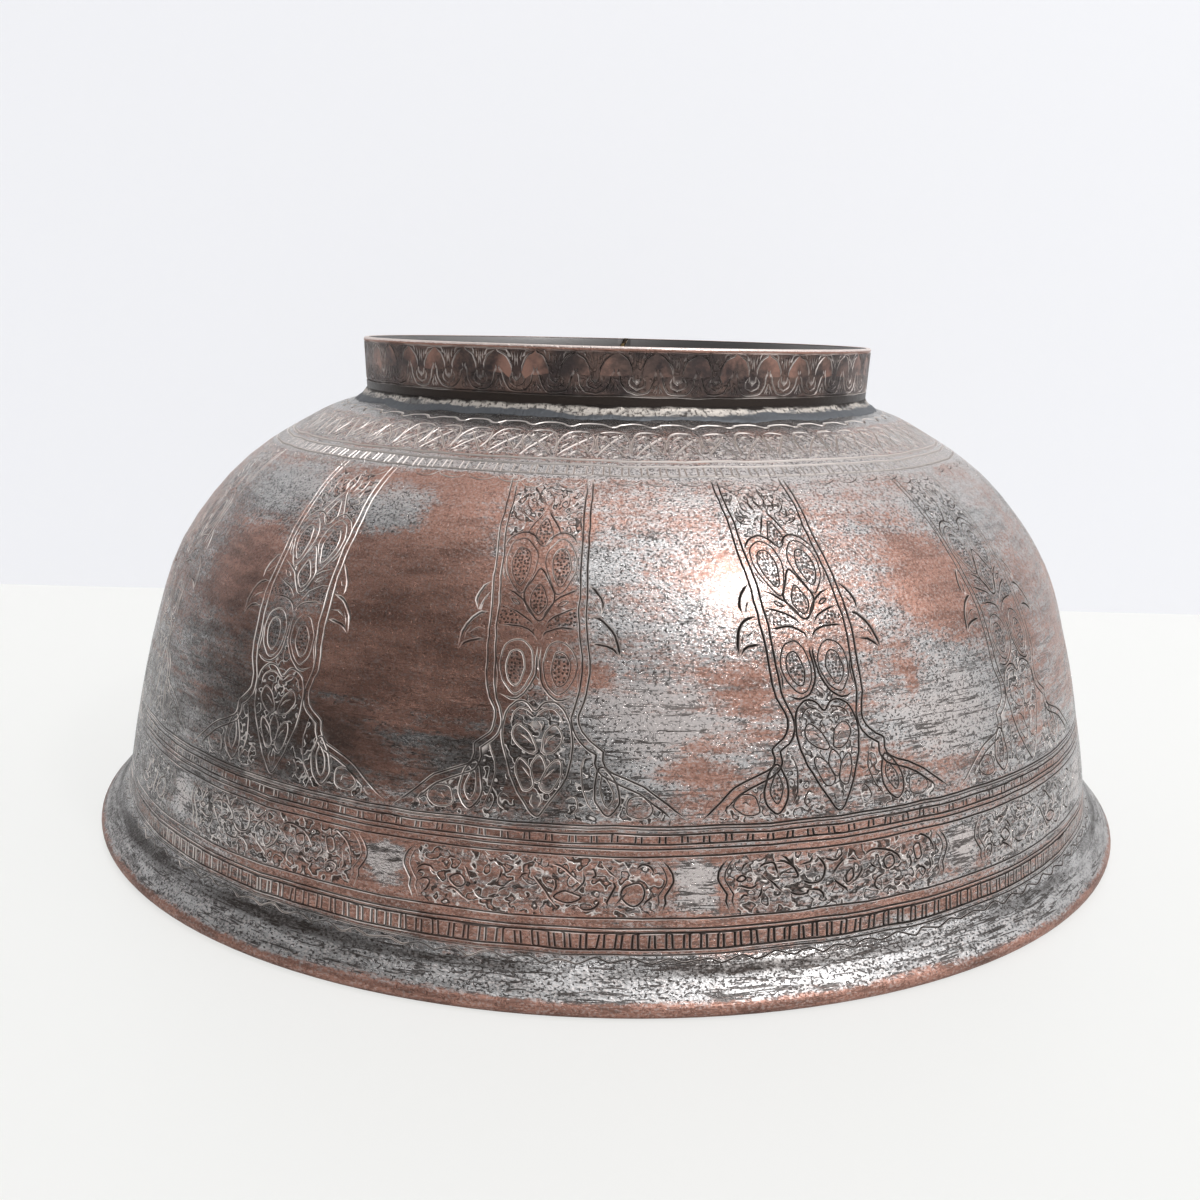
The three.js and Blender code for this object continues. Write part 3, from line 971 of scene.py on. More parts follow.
def surface_normals(degrees, up, hammering):
    """Which way the uncut wall faces, hammer marks included."""
    step = 0.5

    def at(turn, rise):
        return wall_points(degrees + turn, up + rise, -hammer_marks(degrees + turn, up + rise, hammering))

    across = at(step, 0) - at(-step, 0)
    upwards = at(0, step) - at(0, -step)
    return unit(np.cross(across, upwards))


def set_normals(mesh, normal_at_vertex):
    """Flat facets in the cuts, the true wall between them, and Blender's own normals elsewhere."""
    kinds = np.empty(len(mesh.polygons), np.int32)
    mesh.attributes["kind"].data.foreach_get("value", kinds)
    normals = []
    for polygon, kind in zip(mesh.polygons, kinds):
        for corner in polygon.vertices:
            if kind == CUT_FACE:
                normals.append(tuple(polygon.normal))
            elif kind == WALL_FACE:
                normals.append(tuple(normal_at_vertex[corner]))
            else:
                normals.append((0, 0, 0))
    mesh.normals_split_custom_set(normals)


def smooth_mesh(bm, name):
    """Makes a mesh of a bmesh. Returns it with the places of its vertices."""
    mesh = bpy.data.meshes.new(name)
    bm.to_mesh(mesh)
    bm.free()
    mesh.shade_smooth()
    places = np.empty(len(mesh.vertices) * 3)
    mesh.vertices.foreach_get("co", places)
    return mesh, places.reshape(-1, 3)


def store(mesh, name, values):
    """Keeps numbers or directions at the vertices for the finish to read."""
    if values.ndim == 2:
        data = mesh.attributes.new(name, "FLOAT_VECTOR", "POINT").data
        data.foreach_set("vector", values.astype(np.float32).ravel())
    else:
        data = mesh.attributes.new(name, "FLOAT", "POINT").data
        data.foreach_set("value", values.astype(np.float32))


def unrolled_place(places, up, radius):
    """Coordinates that follow the wall round and up, for streaks that run round the bowl."""
    angle = np.arctan2(places[:, 0], -places[:, 1])
    return np.stack([np.sin(angle) * radius, np.cos(angle) * radius, up * MM], -1)


class BOWL_OT_body(bpy.types.Operator):
    """Models the raised bowl with its engraved wall, lip and inside"""

    bl_idname = "bowl.body"
    bl_label = "Bowl body"

    def execute(self, context):
        sizes = context.scene.bowl_sizes
        bm = bmesh.new()
        layers = new_layers(bm)
        build_turned(bm, layers, sizes)
        build_wall(bm, layers, sizes)
        bmesh.ops.remove_doubles(bm, verts=bm.verts, dist=WELD)
        bmesh.ops.recalc_face_normals(bm, faces=bm.faces)
        mesh, places = smooth_mesh(bm, "bowl_body_engraved")
        up = np.empty(len(mesh.vertices))
        mesh.attributes["up"].data.foreach_get("value", up)
        degrees = np.degrees(np.arctan2(places[:, 0], -places[:, 1]))
        wear, patina_and_painted_light = wall_tones(degrees, up, sizes.repeats)
        store(mesh, "wear", wear)
        store(mesh, "patina_and_painted_light", patina_and_painted_light)
        store(mesh, "unrolled", unrolled_place(places, np.abs(up), WALL_STREAKS))
        along = turned_from(degrees, FIRST_AXIS) * DEGREE
        store(mesh, "sheet", np.stack([along * MM, up * MM, 0 * up], -1))
        set_normals(mesh, surface_normals(degrees, np.clip(up, WALL_LOW, WALL_HIGH), sizes.hammering))
        mesh.materials.append(worn_copper(context.scene.bowl_colours))
        body = link(bpy.data.objects.new("engraved_bowl", mesh))
        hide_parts("bowl_body")
        return {"FINISHED"}


def foot_drawing(number, sizes):
    """One leaf of the foot's border with the scales beside it."""
    half = math.pi * (FOOT_SEAT_RADIUS + 0.35) / FOOT_REPEATS
    d = Drawing(sizes, half, lambda line: hand_slip(line, number + 40, half), lighter=0.9)
    d.ring(2.3, d.main)
    d.ring(12.0)
    leaf = [(half - 1.1, 6.9), (half - 1.2, 8.4), (half - 2.3, 10.4), (0.5, 11.4), (0, 11.8)]
    d.pair(leaf, d.main)
    for side in (1, -1):
        scale = [(0.9, 6.6), (1.3, 4.8), (2.5, 3.2), (half, 2.75)]
        d.cut(curve_through([(side * x, y) for x, y in scale]), d.main, through=True)
        for reach, low in ((1.7, 3.7), (0.9, 4.9)):
            bend = [(half - reach, low + 1.9), (half - reach * 0.9, low + 0.8), (half, low)]
            d.cut(curve_through([(side * x, y) for x, y in bend]), through=True)
    d.pair([(half - 0.35, 11.5), (half - 0.2, 9.6), (half - 0.4, 8.0)])
    d.pair([(half - 1.3, 11.6), (half - 0.9, 10.2), (half - 1.0, 9.2)])
    d.pair([(half - 2.3, 11.7), (half - 1.9, 11.1)])
    d.pair([(1.3, 2.8), (0.5, 4.2), (0, 5.6)], d.main)
    d.pair([(0.6, 2.8), (0.2, 3.9)])
    d.pair([(0.2, 7.2), (0.5, 8.4)])
    d.ground(both_halves(leaf[::-1] + [(1.9, 6.3), (0, 6.5)]))
    return d


def foot_places(degrees, up, sunk):
    """Places on the outside of the foot hoop, in metres, sunk below its surface by some metres."""
    radius = hoop_radius(up) * MM - sunk
    angle = np.radians(degrees)
    return np.stack([radius * np.sin(angle), -radius * np.cos(angle), (FOOT_LOW.z + up) * MM], -1)


def foot_marks(degrees, up):
    """Soft unevenness of the hoop, in metres."""
    angles = np.radians(degrees)
    marks = [noise.noise(Vector((math.sin(a) * 5, math.cos(a) * 5, y / 9))) for a, y in zip(angles, up)]
    return np.array(marks) * 0.12 * MM * np.clip((FOOT_TALL - up) / 3, 0, 1)


def hoop_radius(up):
    """Outside radius of the hoop, which leans out a little, at a height above its seat."""
    return FOOT_SEAT_RADIUS + FOOT_LEAN / FOOT_TALL * up


def hoop_profile(outside=False):
    """The hoop's rounded edge, inner wall and lower edge, after its outside where that is wanted."""
    top = FOOT_TALL - FOOT_ROUNDING
    centre = hoop_radius(top) - FOOT_ROUNDING
    line = [(FOOT_SEAT_RADIUS, FOOT_LOW.z + 0.01, 0.01)] if outside else []
    for degrees in (0, 22.5, 45, 67.5, 90):
        turn = math.radians(degrees)
        rise = top + FOOT_ROUNDING * math.sin(turn)
        line.append((centre + FOOT_ROUNDING * math.cos(turn), FOOT_LOW.z + rise, rise))
    inner = FOOT_EDGE_RADIUS - FOOT_SHEET
    line += [(inner + 0.3, FOOT_HIGH.z, FOOT_TALL), (inner + 0.08, FOOT_HIGH.z - 0.08, FOOT_TALL)]
    for t in (0.02, 0.25, 0.5, 0.75, 1.0):
        line.append((inner - FOOT_LEAN * t, FOOT_HIGH.z - FOOT_TALL * t, -FOOT_TALL * t))
    if not outside:
        line.append((FOOT_SEAT_RADIUS, FOOT_LOW.z, 0.0))
    return line


def seam_planes(width):
    """Points and directions of the two planes beside the slanted joint at the back of the hoop."""
    across = Vector((math.cos(SEAM_SLANT), 0, -math.sin(SEAM_SLANT)))
    middle = Vector((0, FOOT_SEAT_RADIUS, (FOOT_LOW.z + FOOT_HIGH.z) / 2)) * MM
    return [(middle + across * side * width * MM / 2, across * side) for side in (1, -1)]


def cut_joint(bm, width, keep_inside):
    """Cuts along both sides of the joint, then keeps what is in it or what is not, and closes the ends."""
    for place, direction in seam_planes(width):
        back = {f for f in bm.faces if f.calc_center_median().y > 0}
        geometry = [*back, *{e for f in back for e in f.edges}, *{v for f in back for v in f.verts}]
        bmesh.ops.bisect_plane(bm, geom=geometry, dist=1e-7, plane_co=place, plane_no=direction)
    doomed = []
    for f in bm.faces:
        centre = f.calc_center_median()
        between = centre.y > 0 and all((centre - place).dot(way) < 0 for place, way in seam_planes(width))
        if between != keep_inside:
            doomed.append(f)
    bmesh.ops.delete(bm, geom=doomed, context="FACES")
    bmesh.ops.remove_doubles(bm, verts=bm.verts, dist=WELD / 2)
    bmesh.ops.holes_fill(bm, edges=[e for e in bm.edges if e.is_boundary], sides=0)


def build_hoop(sizes):
    """The hoop with its engraved border, as a bmesh that is open at its joint."""
    bm = bmesh.new()
    layers = new_layers(bm)
    half_repeat = 180 / FOOT_REPEATS
    turn_profile(bm, layers, hoop_profile(), math.radians(-half_repeat), FOOT_COLUMNS * FOOT_REPEATS)
    rows = np.linspace(0, FOOT_TALL - FOOT_ROUNDING, FOOT_ROWS)
    for number in range(FOOT_REPEATS):
        drawing = foot_drawing(number, sizes)
        flat, faces, depths, worked = engrave(drawing, rows, FOOT_COLUMNS, sizes.cut_slope)
        up = flat[:, 1]
        degrees = number * 360 / FOOT_REPEATS + flat[:, 0] / drawing.half * half_repeat
        places = foot_places(degrees, up, depths * MM - foot_marks(degrees, up))
        add_engraved(bm, layers, places, up, depths / deepest_cut(sizes), faces, worked)
    bmesh.ops.remove_doubles(bm, verts=bm.verts, dist=WELD)
    bmesh.ops.recalc_face_normals(bm, faces=bm.faces)
    cut_joint(bm, SEAM_GAP, False)
    return bm


def build_braze():
    """The braze in the joint: a short piece of the hoop's own outline, a little uneven."""
    bm = bmesh.new()
    layers = new_layers(bm)
    arc, steps, lump = 16, 32, 0.04 * MM
    start = math.radians(180 - arc / 2)
    turn_profile(bm, layers, hoop_profile(outside=True), start, steps, math.radians(arc), closed=True)
    bmesh.ops.recalc_face_normals(bm, faces=bm.faces)
    cut_joint(bm, BRAZE_WIDTH, True)
    bmesh.ops.recalc_face_normals(bm, faces=bm.faces)
    for v in bm.verts:
        v.co += v.normal * lump * noise.noise(v.co * 900)
    return bm


class BOWL_OT_foot(bpy.types.Operator):
    """Models the foot hoop with its engraved border, and the braze in its joint"""

    bl_idname = "bowl.foot"
    bl_label = "Foot hoop and braze"

    def execute(self, context):
        colours = context.scene.bowl_colours
        hoop = build_hoop(context.scene.bowl_sizes)
        hoop = foot_piece(hoop, "foot_hoop_engraved", foot_copper(colours), engraved=True)
        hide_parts("foot_hoop")
        braze = foot_piece(build_braze(), "braze_in_foot_joint", brazed_joint(colours))
        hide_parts("foot_hoop_braze")
        return {"FINISHED"}


def foot_normals(places):
    """Which way the uncut outside of the hoop faces."""
    outward = unit(places * (1, 1, 0))
    outward[:, 2] = -FOOT_LEAN / FOOT_TALL
    return unit(outward)


def foot_piece(bm, name, material, engraved=False):
    """Makes an object of a piece of the foot, with the coordinates and normals that its finish needs."""
    mesh, places = smooth_mesh(bm, name)
    store(mesh, "unrolled", unrolled_place(places, places[:, 2] / MM, FOOT_STREAKS))
    if engraved:
        set_normals(mesh, foot_normals(places))
    mesh.materials.append(material)
    return link(bpy.data.objects.new(name, mesh))


# The run of solder: radius from the hoop's inner or outer face, and height above the base
SOLDER_INNER = [(-3.0, -0.12), (-2.6, 0.10), (-1.4, 0.34), (-0.3, 0.95), (-0.02, 1.45), (-0.02, 0.85)]
SOLDER_OUTER = [(0.02, 0.85), (0.03, 1.75), (0.45, 1.15), (1.1, 0.75), (1.9, 0.5), (2.6, 0.34), (3.1, 0.08),
                (3.3, -0.15), (0, -0.2)]


def on_base(radius, above):
    """Height above the floor of something that stands above the base at a radius."""
    return float(WALL.at(WALL.distance_at_radius(radius))[1]) + above


def build_solder():
    """The run of solder, drawn out and heaped up unevenly on both sides of the hoop."""
    inner, outer = FOOT_SEAT_RADIUS - FOOT_SHEET, FOOT_SEAT_RADIUS
    outline = [(inner + x, y) for x, y in SOLDER_INNER] + [(outer + x, y) for x, y in SOLDER_OUTER]
    profile = [(radius, on_base(radius, above), 0.0) for radius, above in [*outline, (inner, -0.2)]]
    bm = bmesh.new()
    turn_profile(bm, new_layers(bm), profile, 0.0, 300, closed=True)
    bmesh.ops.recalc_face_normals(bm, faces=bm.faces)
    out = bm.verts.layers.float.new("out")
    for v in bm.verts:
        flat = Vector((v.co.x, v.co.y, 0))
        radius = flat.length / MM
        beyond = max(radius - outer, inner - radius)
        v[out] = beyond
        if beyond < 0.1:
            continue
        spread = noise.noise(flat * 90) * 0.6 + noise.noise(flat * 380) * 0.2
        spread += noise.noise(flat * 1500) * 0.15
        away = radius - (outer if radius > outer else inner)
        moved = radius + away * (spread - 0.12) * 0.9
        above = v.co.z / MM - on_base(radius, 0)
        if above > 0:
            above *= 1 + 0.4 * noise.noise(v.co * 700) + 0.35 * noise.noise(v.co * 1900)
        v.co = flat.normalized() * moved * MM + Vector((0, 0, on_base(moved, above) * MM))
    return bm


class BOWL_OT_solder(bpy.types.Operator):
    """Models the uneven run of solder round the seat of the foot"""

    bl_idname = "bowl.solder"
    bl_label = "Foot solder"

    def execute(self, context):
        solder = foot_piece(build_solder(), "solder_round_foot", dull_solder(context.scene.bowl_colours))
        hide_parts("foot_solder")
        return {"FINISHED"}


def join(tree, socket, value):
    """Links a value or another socket to a socket, or sets it to a number, a direction or a colour."""
    source = value.socket if isinstance(value, Value) else value
    if isinstance(source, bpy.types.NodeSocket):
        tree.links.new(source, socket)
    else:
        socket.default_value = (*source, 1) if socket.type == "RGBA" else source


class Value:
    """What a node gives: a number, a colour or a place. Sums and products of values add their own nodes."""

    def __init__(self, tree, kind, inputs, output=0, **settings):
        self.tree = tree
        node = tree.nodes.new(kind)
        for name, setting in settings.items():
            setattr(node, name, setting)
        for name, value in inputs.items():
            join(tree, node.inputs[name], value)
        self.socket = node.outputs[output]

    def maths(self, operation, a, b=0.0):
        return Value(self.tree, "ShaderNodeMath", {0: a, 1: b}, operation=operation)

    def __add__(self, other):
        return self.maths("ADD", self, other)

    def __sub__(self, other):
        return self.maths("SUBTRACT", self, other)

    def __rsub__(self, other):
        return self.maths("SUBTRACT", other, self)

    def __mul__(self, other):
        return self.maths("MULTIPLY", self, other)

    def __abs__(self):
        return self.maths("ABSOLUTE", self)

    def sine(self):
        return self.maths("SINE", self)

    def or_more(self, other):
        """The greater of two values."""
        return self.maths("MAXIMUM", self, other)

    def centred(self, gain=1.0):
        """A noise about nought, made stronger."""
        return (self - 0.5) * gain

    def ramp(self, low, high, top=1.0):
        """Nought below low, top above high, smooth between."""
        limits = {"Value": self, "From Min": low, "From Max": high, "To Max": top}
        return Value(self.tree, "ShaderNodeMapRange", limits, interpolation_type="SMOOTHSTEP")

    def blend(self, a, b):
        """The number a where this value is nought, and b where it is one."""
        return Value(self.tree, "ShaderNodeMix", {0: self, 2: a, 3: b})

    def mix(self, a, b):
        """The colour a where this value is nought, and b where it is one."""
        return Value(self.tree, "ShaderNodeMix", {0: self, 6: a, 7: b}, 2, data_type="RGBA")

    def under(self, colour, share):
        """This colour with another over a share of it."""
        return share.mix(self, colour)

    def part(self, axis):
        return Value(self.tree, "ShaderNodeSeparateXYZ", {0: self}, axis)

    def noise(self, scale, detail, roughness, distortion=0.0):
        """Noise at this place, with one scale or with a scale for each axis."""
        place = self
        if isinstance(scale, tuple):
            place = Value(self.tree, "ShaderNodeMapping", {"Vector": self, "Scale": scale})
            scale = 1.0
        inputs = {"Vector": place, "Scale": scale, "Detail": detail, "Roughness": roughness}
        return Value(self.tree, "ShaderNodeTexNoise", {**inputs, "Distortion": distortion})

    def bump(self, distance, strength=1.0):
        inputs = {"Strength": strength, "Distance": distance, "Height": self}
        return Value(self.tree, "ShaderNodeBump", inputs)


class Finish:
    """A material of one shader. Its colour and relief are worked out from values."""

    def __init__(self, name):
        self.material = bpy.data.materials.new(name)
        self.material.use_nodes = True
        self.tree = self.material.node_tree
        self.shader = self.tree.nodes["Principled BSDF"]

    def attribute(self, name, output="Fac"):
        """What a piece keeps at its vertices or faces under a name."""
        return Value(self.tree, "ShaderNodeAttribute", {}, output, attribute_name=name)

    def surface(self, **inputs):
        """Fills in the shader's inputs, and returns the material."""
        for name, value in inputs.items():
            join(self.tree, self.shader.inputs[name.replace("_", " ").title()], value)
        return self.material


def worn_copper(colours):
    """Copper with tin worn off it in streaks, dirt in the cuts, scratches and pits, with painted shade over
    the left and lower wall and painted light on the upper wall, at the highlight and along the cuts.
    """
    f = Finish("Worn tinned copper")
    place = f.attribute("unrolled", "Vector")
    wear, patina_and_painted_light = f.attribute("wear"), f.attribute("patina_and_painted_light")
    cut, worked = f.attribute("cut"), f.attribute("worked")
    hatched = worked.ramp(DOTTED + 0.2, HATCHED - 0.2)
    dotted = worked.ramp(PLAIN + 0.2, DOTTED - 0.2) - hatched
    right, height = place.part(0), place.part(2)
    high_up = height.ramp(0.054, 0.074)

    # Copper where the tin is worn off, streaked low on the wall and cloudy higher up
    streaks = place.noise((34, 34, 420), 6, 0.7)
    clouds = place.noise((70, 70, 120), 6, 0.7, 0.5)
    grain = place.noise((800, 800, 1400), 3, 0.7)
    worn = streaks.centred() * high_up.blend(4.2, 1.8) + clouds.centred(2.3) + grain.centred(3.0)
    worn = worn + wear * 1.45 - hatched * 0.3 - dotted * 0.2
    copper_share = worn.ramp(-0.7, 0.7)
    # The copper and tin tones turn darker where the map holds patina or painted shade, and paler where it
    # paints light
    age_and_painted_light = patina_and_painted_light * 0.22
    copper_tone = (place.noise((70, 70, 260), 6, 0.68) - age_and_painted_light).ramp(0.30, 0.62)
    copper = copper_tone.mix(colours.copper_brown, colours.copper)
    tin_tone = (place.noise((110, 110, 520), 6, 0.74) - age_and_painted_light).ramp(0.35, 0.57)
    tin = tin_tone.mix(colours.tin_dark, colours.tin)
    # Pale tin in clouds, and painted light where the map is below nought, on the upper wall and at the
    # highlight
    tin = tin.under(colours.pale_tin_and_painted_light, (clouds.centred(1.4) - patina_and_painted_light).ramp(0.0, 0.7))
    colour = copper_share.mix(tin, copper)
    # Dirty patches, with painted shade where the map is above nought: over the left and lower wall and along
    # the crease above the flange
    soot_and_painted_shade = ((place.noise((70, 70, 210), 7, 0.75, 0.3) - 0.62) * 3.0 + patina_and_painted_light).ramp(0.0, 1.0)
    colour = colour.under(colours.patina_and_painted_shade, soot_and_painted_shade * 0.75)

    # Pale flecks painted as glints, and dark scratches and pits, fewer on the copper than on the tin; the
    # flecks are fewer where the map holds patina or painted shade, and the pits, and the scratches high on
    # the wall, are kept off the painted highlight
    in_cut = cut.ramp(0.0, 0.12)
    clear = 1.0 - in_cut
    rubbed = copper_share.blend(1.0, 0.45)
    specks = place.noise((1700, 1700, 2300), 1, 0.6)
    calm = right.ramp(0.07, 0.10).blend(1.0, 0.5)
    painted_glint_share = patina_and_painted_light.ramp(0.1, 0.6).blend(0.7, 0.15) * calm
    colour = colour.under(colours.pale_tin_and_painted_light, specks.ramp(0.56, 0.62) * (rubbed * painted_glint_share))
    pitted = patina_and_painted_light.ramp(-1.1, -0.3) * calm
    marks = scratches(place, specks, pitted, high_up) * high_up.blend(1.0, patina_and_painted_light.ramp(-0.95, -0.55))
    marks = marks * rubbed * clear
    colour = colour.under(colours.patina_and_painted_shade, marks * 0.85)

    # Punched dots, and hatching that swirls
    dots = punching(f.attribute("sheet", "Vector")) * dotted
    colour = colour.under(colours.patina_and_painted_shade, dots * 0.85)
    swirl = place.noise(430, 1, 0.5) * 24.0
    furrow = swirl.sine().ramp(0.5, 0.9) * hatched
    ridge = (swirl + 1.0).sine().ramp(0.7, 0.95) * hatched
    at_top = height.ramp(0.106, 0.112)
    # Bright metal on the hatching ridges, partly a painted glint, and dirt in its furrows
    colour = colour.under(colours.bright_cut_and_glint, ridge * at_top.blend(0.75, 0.25))
    colour = colour.under(colours.patina_and_painted_shade, furrow * at_top.blend(0.85, 0.45))

    # Cuts with patina in their bottoms and bright metal on their edges, partly a painted glint; round the top
    # the edges are painted brightest, and on the right of the bowl the edges are dimmer and the bottoms wider
    # and darker, as painted shade
    # The right of the bowl, where the cuts carry painted shade
    shaded = right.ramp(-0.02, 0.035)
    kept = place.noise((90, 90, 90), 3, 0.6).ramp(0.44, 0.58)
    edge = at_top.blend(shaded.blend(kept.blend(0.25, 0.95), 0.5), 0.95)
    colour = colour.under(colours.bright_cut_and_glint, in_cut * edge)
    bottom = at_top.blend(shaded.blend(0.8, 0.95), 0.35)
    depth = cut + shaded * in_cut * 0.2
    colour = colour.under(colours.patina_and_painted_shade, depth.ramp(0.38, 0.62) * bottom)

    rough = copper_share.blend(0.20, 0.28) + soot_and_painted_shade * 0.18 + grain.centred(0.22)
    rough = rough + height.ramp(0.007, 0.012).blend(0.16, 0.0) + in_cut * 0.26
    grit = place.noise((1200, 1200, 1800), 2, 0.6)
    relief = grit * (rubbed * clear) * 0.16 - marks * 0.12 - (dots + furrow) * 0.12
    return f.surface(base_color=colour, roughness=rough, metallic=1.0, normal=relief.bump(MM))


def scratches(place, specks, pitted, high_up):
    """Cracks that run round low on the wall, short hairs and pits all over it, as a share of the surface."""
    waver = abs(place.noise((42, 42, 520), 4, 0.62).centred())
    broken = place.noise((170, 170, 260), 2, 0.6, 0.5).ramp(0.42, 0.50)
    cracks = (1.0 - waver.ramp(0.012, 0.030)) * broken * high_up.blend(1.0, 0.12)
    pits = (1.0 - specks.ramp(0.36, 0.43)) * pitted
    bends = abs(place.noise(420, 1, 0.5, 0.6).centred())
    hairs = (1.0 - bends.ramp(0.006, 0.018)) * pitted
    some = place.noise(330, 1, 0.5).ramp(0.52, 0.58)
    return cracks.or_more(pits).or_more(hairs * some)


def punching(sheet):
    """The dots of a punched ground, on the sheet laid flat."""
    cells = {"Vector": sheet, "Scale": 1300, "Randomness": 0.6}
    away = Value(sheet.tree, "ShaderNodeTexVoronoi", cells, "Distance", voronoi_dimensions="2D")
    return 1.0 - away.ramp(0.24, 0.40)


def foot_copper(colours):
    """Dark copper of the foot, worn bright in some of its leaves and on its edge, where a painted highlight
    runs along the rounded top, and tinned inside.
    """
    f = Finish("Dark foot copper")
    place = f.attribute("unrolled", "Vector")
    cut, leaf, up = f.attribute("cut"), f.attribute("worked"), f.attribute("up")
    clouds = place.noise((90, 90, 150), 5, 0.6, 0.4)
    grain = place.noise(1100, 4, 0.65)
    colour = (clouds + grain.centred(0.3)).ramp(0.38, 0.72).mix(colours.foot_dark, colours.foot_brown)
    worn = (place.noise((60, 60, 60), 4, 0.6) + grain.centred(0.12)).ramp(0.46, 0.66)
    colour = colour.under(colours.copper, worn * (leaf * 0.7 + 0.05))
    furrow = (place.noise(600, 1, 0.5) * 24.0).sine().ramp(0.5, 0.95) * (1.0 - leaf) * up.ramp(2.4, 3.4)
    colour = colour.under(colours.patina_and_painted_shade, furrow * 0.5)
    rise = up + grain.centred(0.4)
    colour = colour.under(colours.copper, rise.ramp(FOOT_TALL - 1.3, FOOT_TALL - 0.8) * 0.8)
    # Painted highlight along the rounded top edge, over metal worn bright there
    colour = colour.under(colours.worn_rim_and_painted_highlight, rise.ramp(FOOT_TALL - 0.56, FOOT_TALL - 0.4) * 0.9)
    colour = (up + clouds.centred(1.2)).ramp(1.9, 2.5).mix(colours.patina_and_painted_shade, colour)
    in_cut = cut.ramp(0.0, 0.15)
    clean = place.noise(70, 4, 0.6).ramp(0.42, 0.6)
    # Bright metal in the cuts, partly a painted glint, and dirt in their bottoms
    colour = colour.under(colours.bright_cut_and_glint, in_cut * clean.blend(0.12, 0.6))
    colour = colour.under(colours.patina_and_painted_shade, cut.ramp(0.55, 0.9) * 0.85)
    colour = up.ramp(-0.4, -0.1).mix(colours.tin_dark, colour)
    rough = grain * 0.24 + 0.26 + in_cut * 0.2
    relief = place.noise((1300, 1300, 2200), 3, 0.6) * 0.06 - furrow * 0.08
    return f.surface(base_color=colour, roughness=rough, metallic=1.0, normal=relief.bump(MM))


def dull_solder(colours):
    """Pale tin solder, lumpy and cracked, black with dirt where it meets the hoop."""
    f = Finish("Dull solder")
    place = f.attribute("unrolled", "Vector")
    out = f.attribute("out")
    lumps = place.noise((120, 120, 500), 6, 0.65)
    pores = place.noise(1300, 3, 0.6)
    colour = lumps.ramp(0.40, 0.52).mix(colours.tin_dark, colours.solder)
    colour = colour.under(colours.patina_and_painted_shade, pores.ramp(0.50, 0.62) * 0.8)
    colour = (out + lumps.centred(1.8)).ramp(0.15, 0.5).mix(colours.patina_and_painted_shade, colour)
    right = place.part(0)
    thick = right.ramp(-0.018, -0.006) * (1.0 - right.ramp(0.018, 0.03))
    tail = (out - thick * 0.8 + lumps.centred(2.4)).ramp(1.0, 1.5)
    colour = colour.under(colours.solder_grey, tail)
    relief = (lumps + pores).bump(0.3 * MM, 0.9)
    return f.surface(base_color=colour, roughness=0.55, metallic=0.8, normal=relief)


def brazed_joint(colours):
    """Yellow braze, dulled by handling."""
    f = Finish("Braze")
    grain = f.attribute("unrolled", "Vector").noise(900, 4, 0.6)
    colour = grain.ramp(0.4, 0.65).mix(colours.patina_and_painted_shade, colours.braze)
    return f.surface(base_color=colour, roughness=0.45, metallic=1.0, normal=grain.bump(0.1 * MM, 0.7))


def camera_turn():
    """The camera's own right, up and back, turned by its yaw, its pitch and its roll."""
    level = math.cos(CAMERA_DOWN)
    ahead = Vector((math.sin(CAMERA_YAW) * level, math.cos(CAMERA_YAW) * level, -math.sin(CAMERA_DOWN)))
    right = Vector((math.cos(CAMERA_YAW), -math.sin(CAMERA_YAW), 0))
    up = right.cross(ahead)
    rolled_right = right * math.cos(CAMERA_ROLL) + up * math.sin(CAMERA_ROLL)
    rolled_up = up * math.cos(CAMERA_ROLL) - right * math.sin(CAMERA_ROLL)
    return Matrix((rolled_right, rolled_up, -ahead)).transposed().to_4x4()


class BOWL_OT_camera(bpy.types.Operator):
    """Sets the camera where the photograph was taken from"""

    bl_idname = "bowl.camera"
    bl_label = "Camera"

    def execute(self, context):
        data = bpy.data.cameras.new("Camera")
        data.sensor_width = SENSOR
        data.lens = SENSOR * FOCAL_PIXELS / IMAGE_WIDTH
        data.clip_start = 0.01
        data.clip_end = 20
        camera = bpy.data.objects.new("Camera", data)
        context.scene.collection.objects.link(camera)
        camera.matrix_world = Matrix.Translation((0, -CAMERA_BACK, CAMERA_UP)) @ camera_turn()
        context.scene.camera = camera
        return {"FINISHED"}


def area_lamp(name, place, target, size, power):
    """A soft lamp that looks at a target."""
    data = bpy.data.lights.new(name, "AREA")
    data.shape = "RECTANGLE"
    data.size, data.size_y = size
    data.energy = power
    lamp = bpy.data.objects.new(name, data)
    lamp.location = place
    lamp.rotation_euler = (Vector(target) - Vector(place)).to_track_quat("-Z", "Y").to_euler()
    bpy.context.scene.collection.objects.link(lamp)


# Where the room is bright: direction, how near to it the light starts and is full, and strength
ROOM_LIGHT = [
    ((0.25, 0.3, 1.0), 0.45, 1.0, 1.5),
    ((0.5, -0.6, 0.5), 0.35, 1.0, 0.65),
    ((0.9, 0.3, 0.2), 0.2, 1.0, 0.5),
    ((-0.8, 0.55, 0.2), 0.3, 1.0, 0.25),
]
ROOM_EVEN = 0.21          # strength of its light from every side


def light_room(world):
    """A pale room: bright overhead and to the right, darker behind the camera and to its left."""
    tree = world.node_tree
    direction = Value(tree, "ShaderNodeTexCoord", {}, "Generated")
    total = ROOM_EVEN
    for aim, low, high, strength in ROOM_LIGHT:
        pair = {0: direction, 1: Vector(aim).normalized()}
        along = Value(tree, "ShaderNodeVectorMath", pair, "Value", operation="DOT_PRODUCT")
        total = along.ramp(low, high, strength) + total
    seen = Value(tree, "ShaderNodeLightPath", {}, "Is Camera Ray")
    background = tree.nodes["Background"]
    join(tree, background.inputs["Color"], (0.985, 0.99, 1.0))
    join(tree, background.inputs["Strength"], seen.blend(total, SEEN_ROOM))


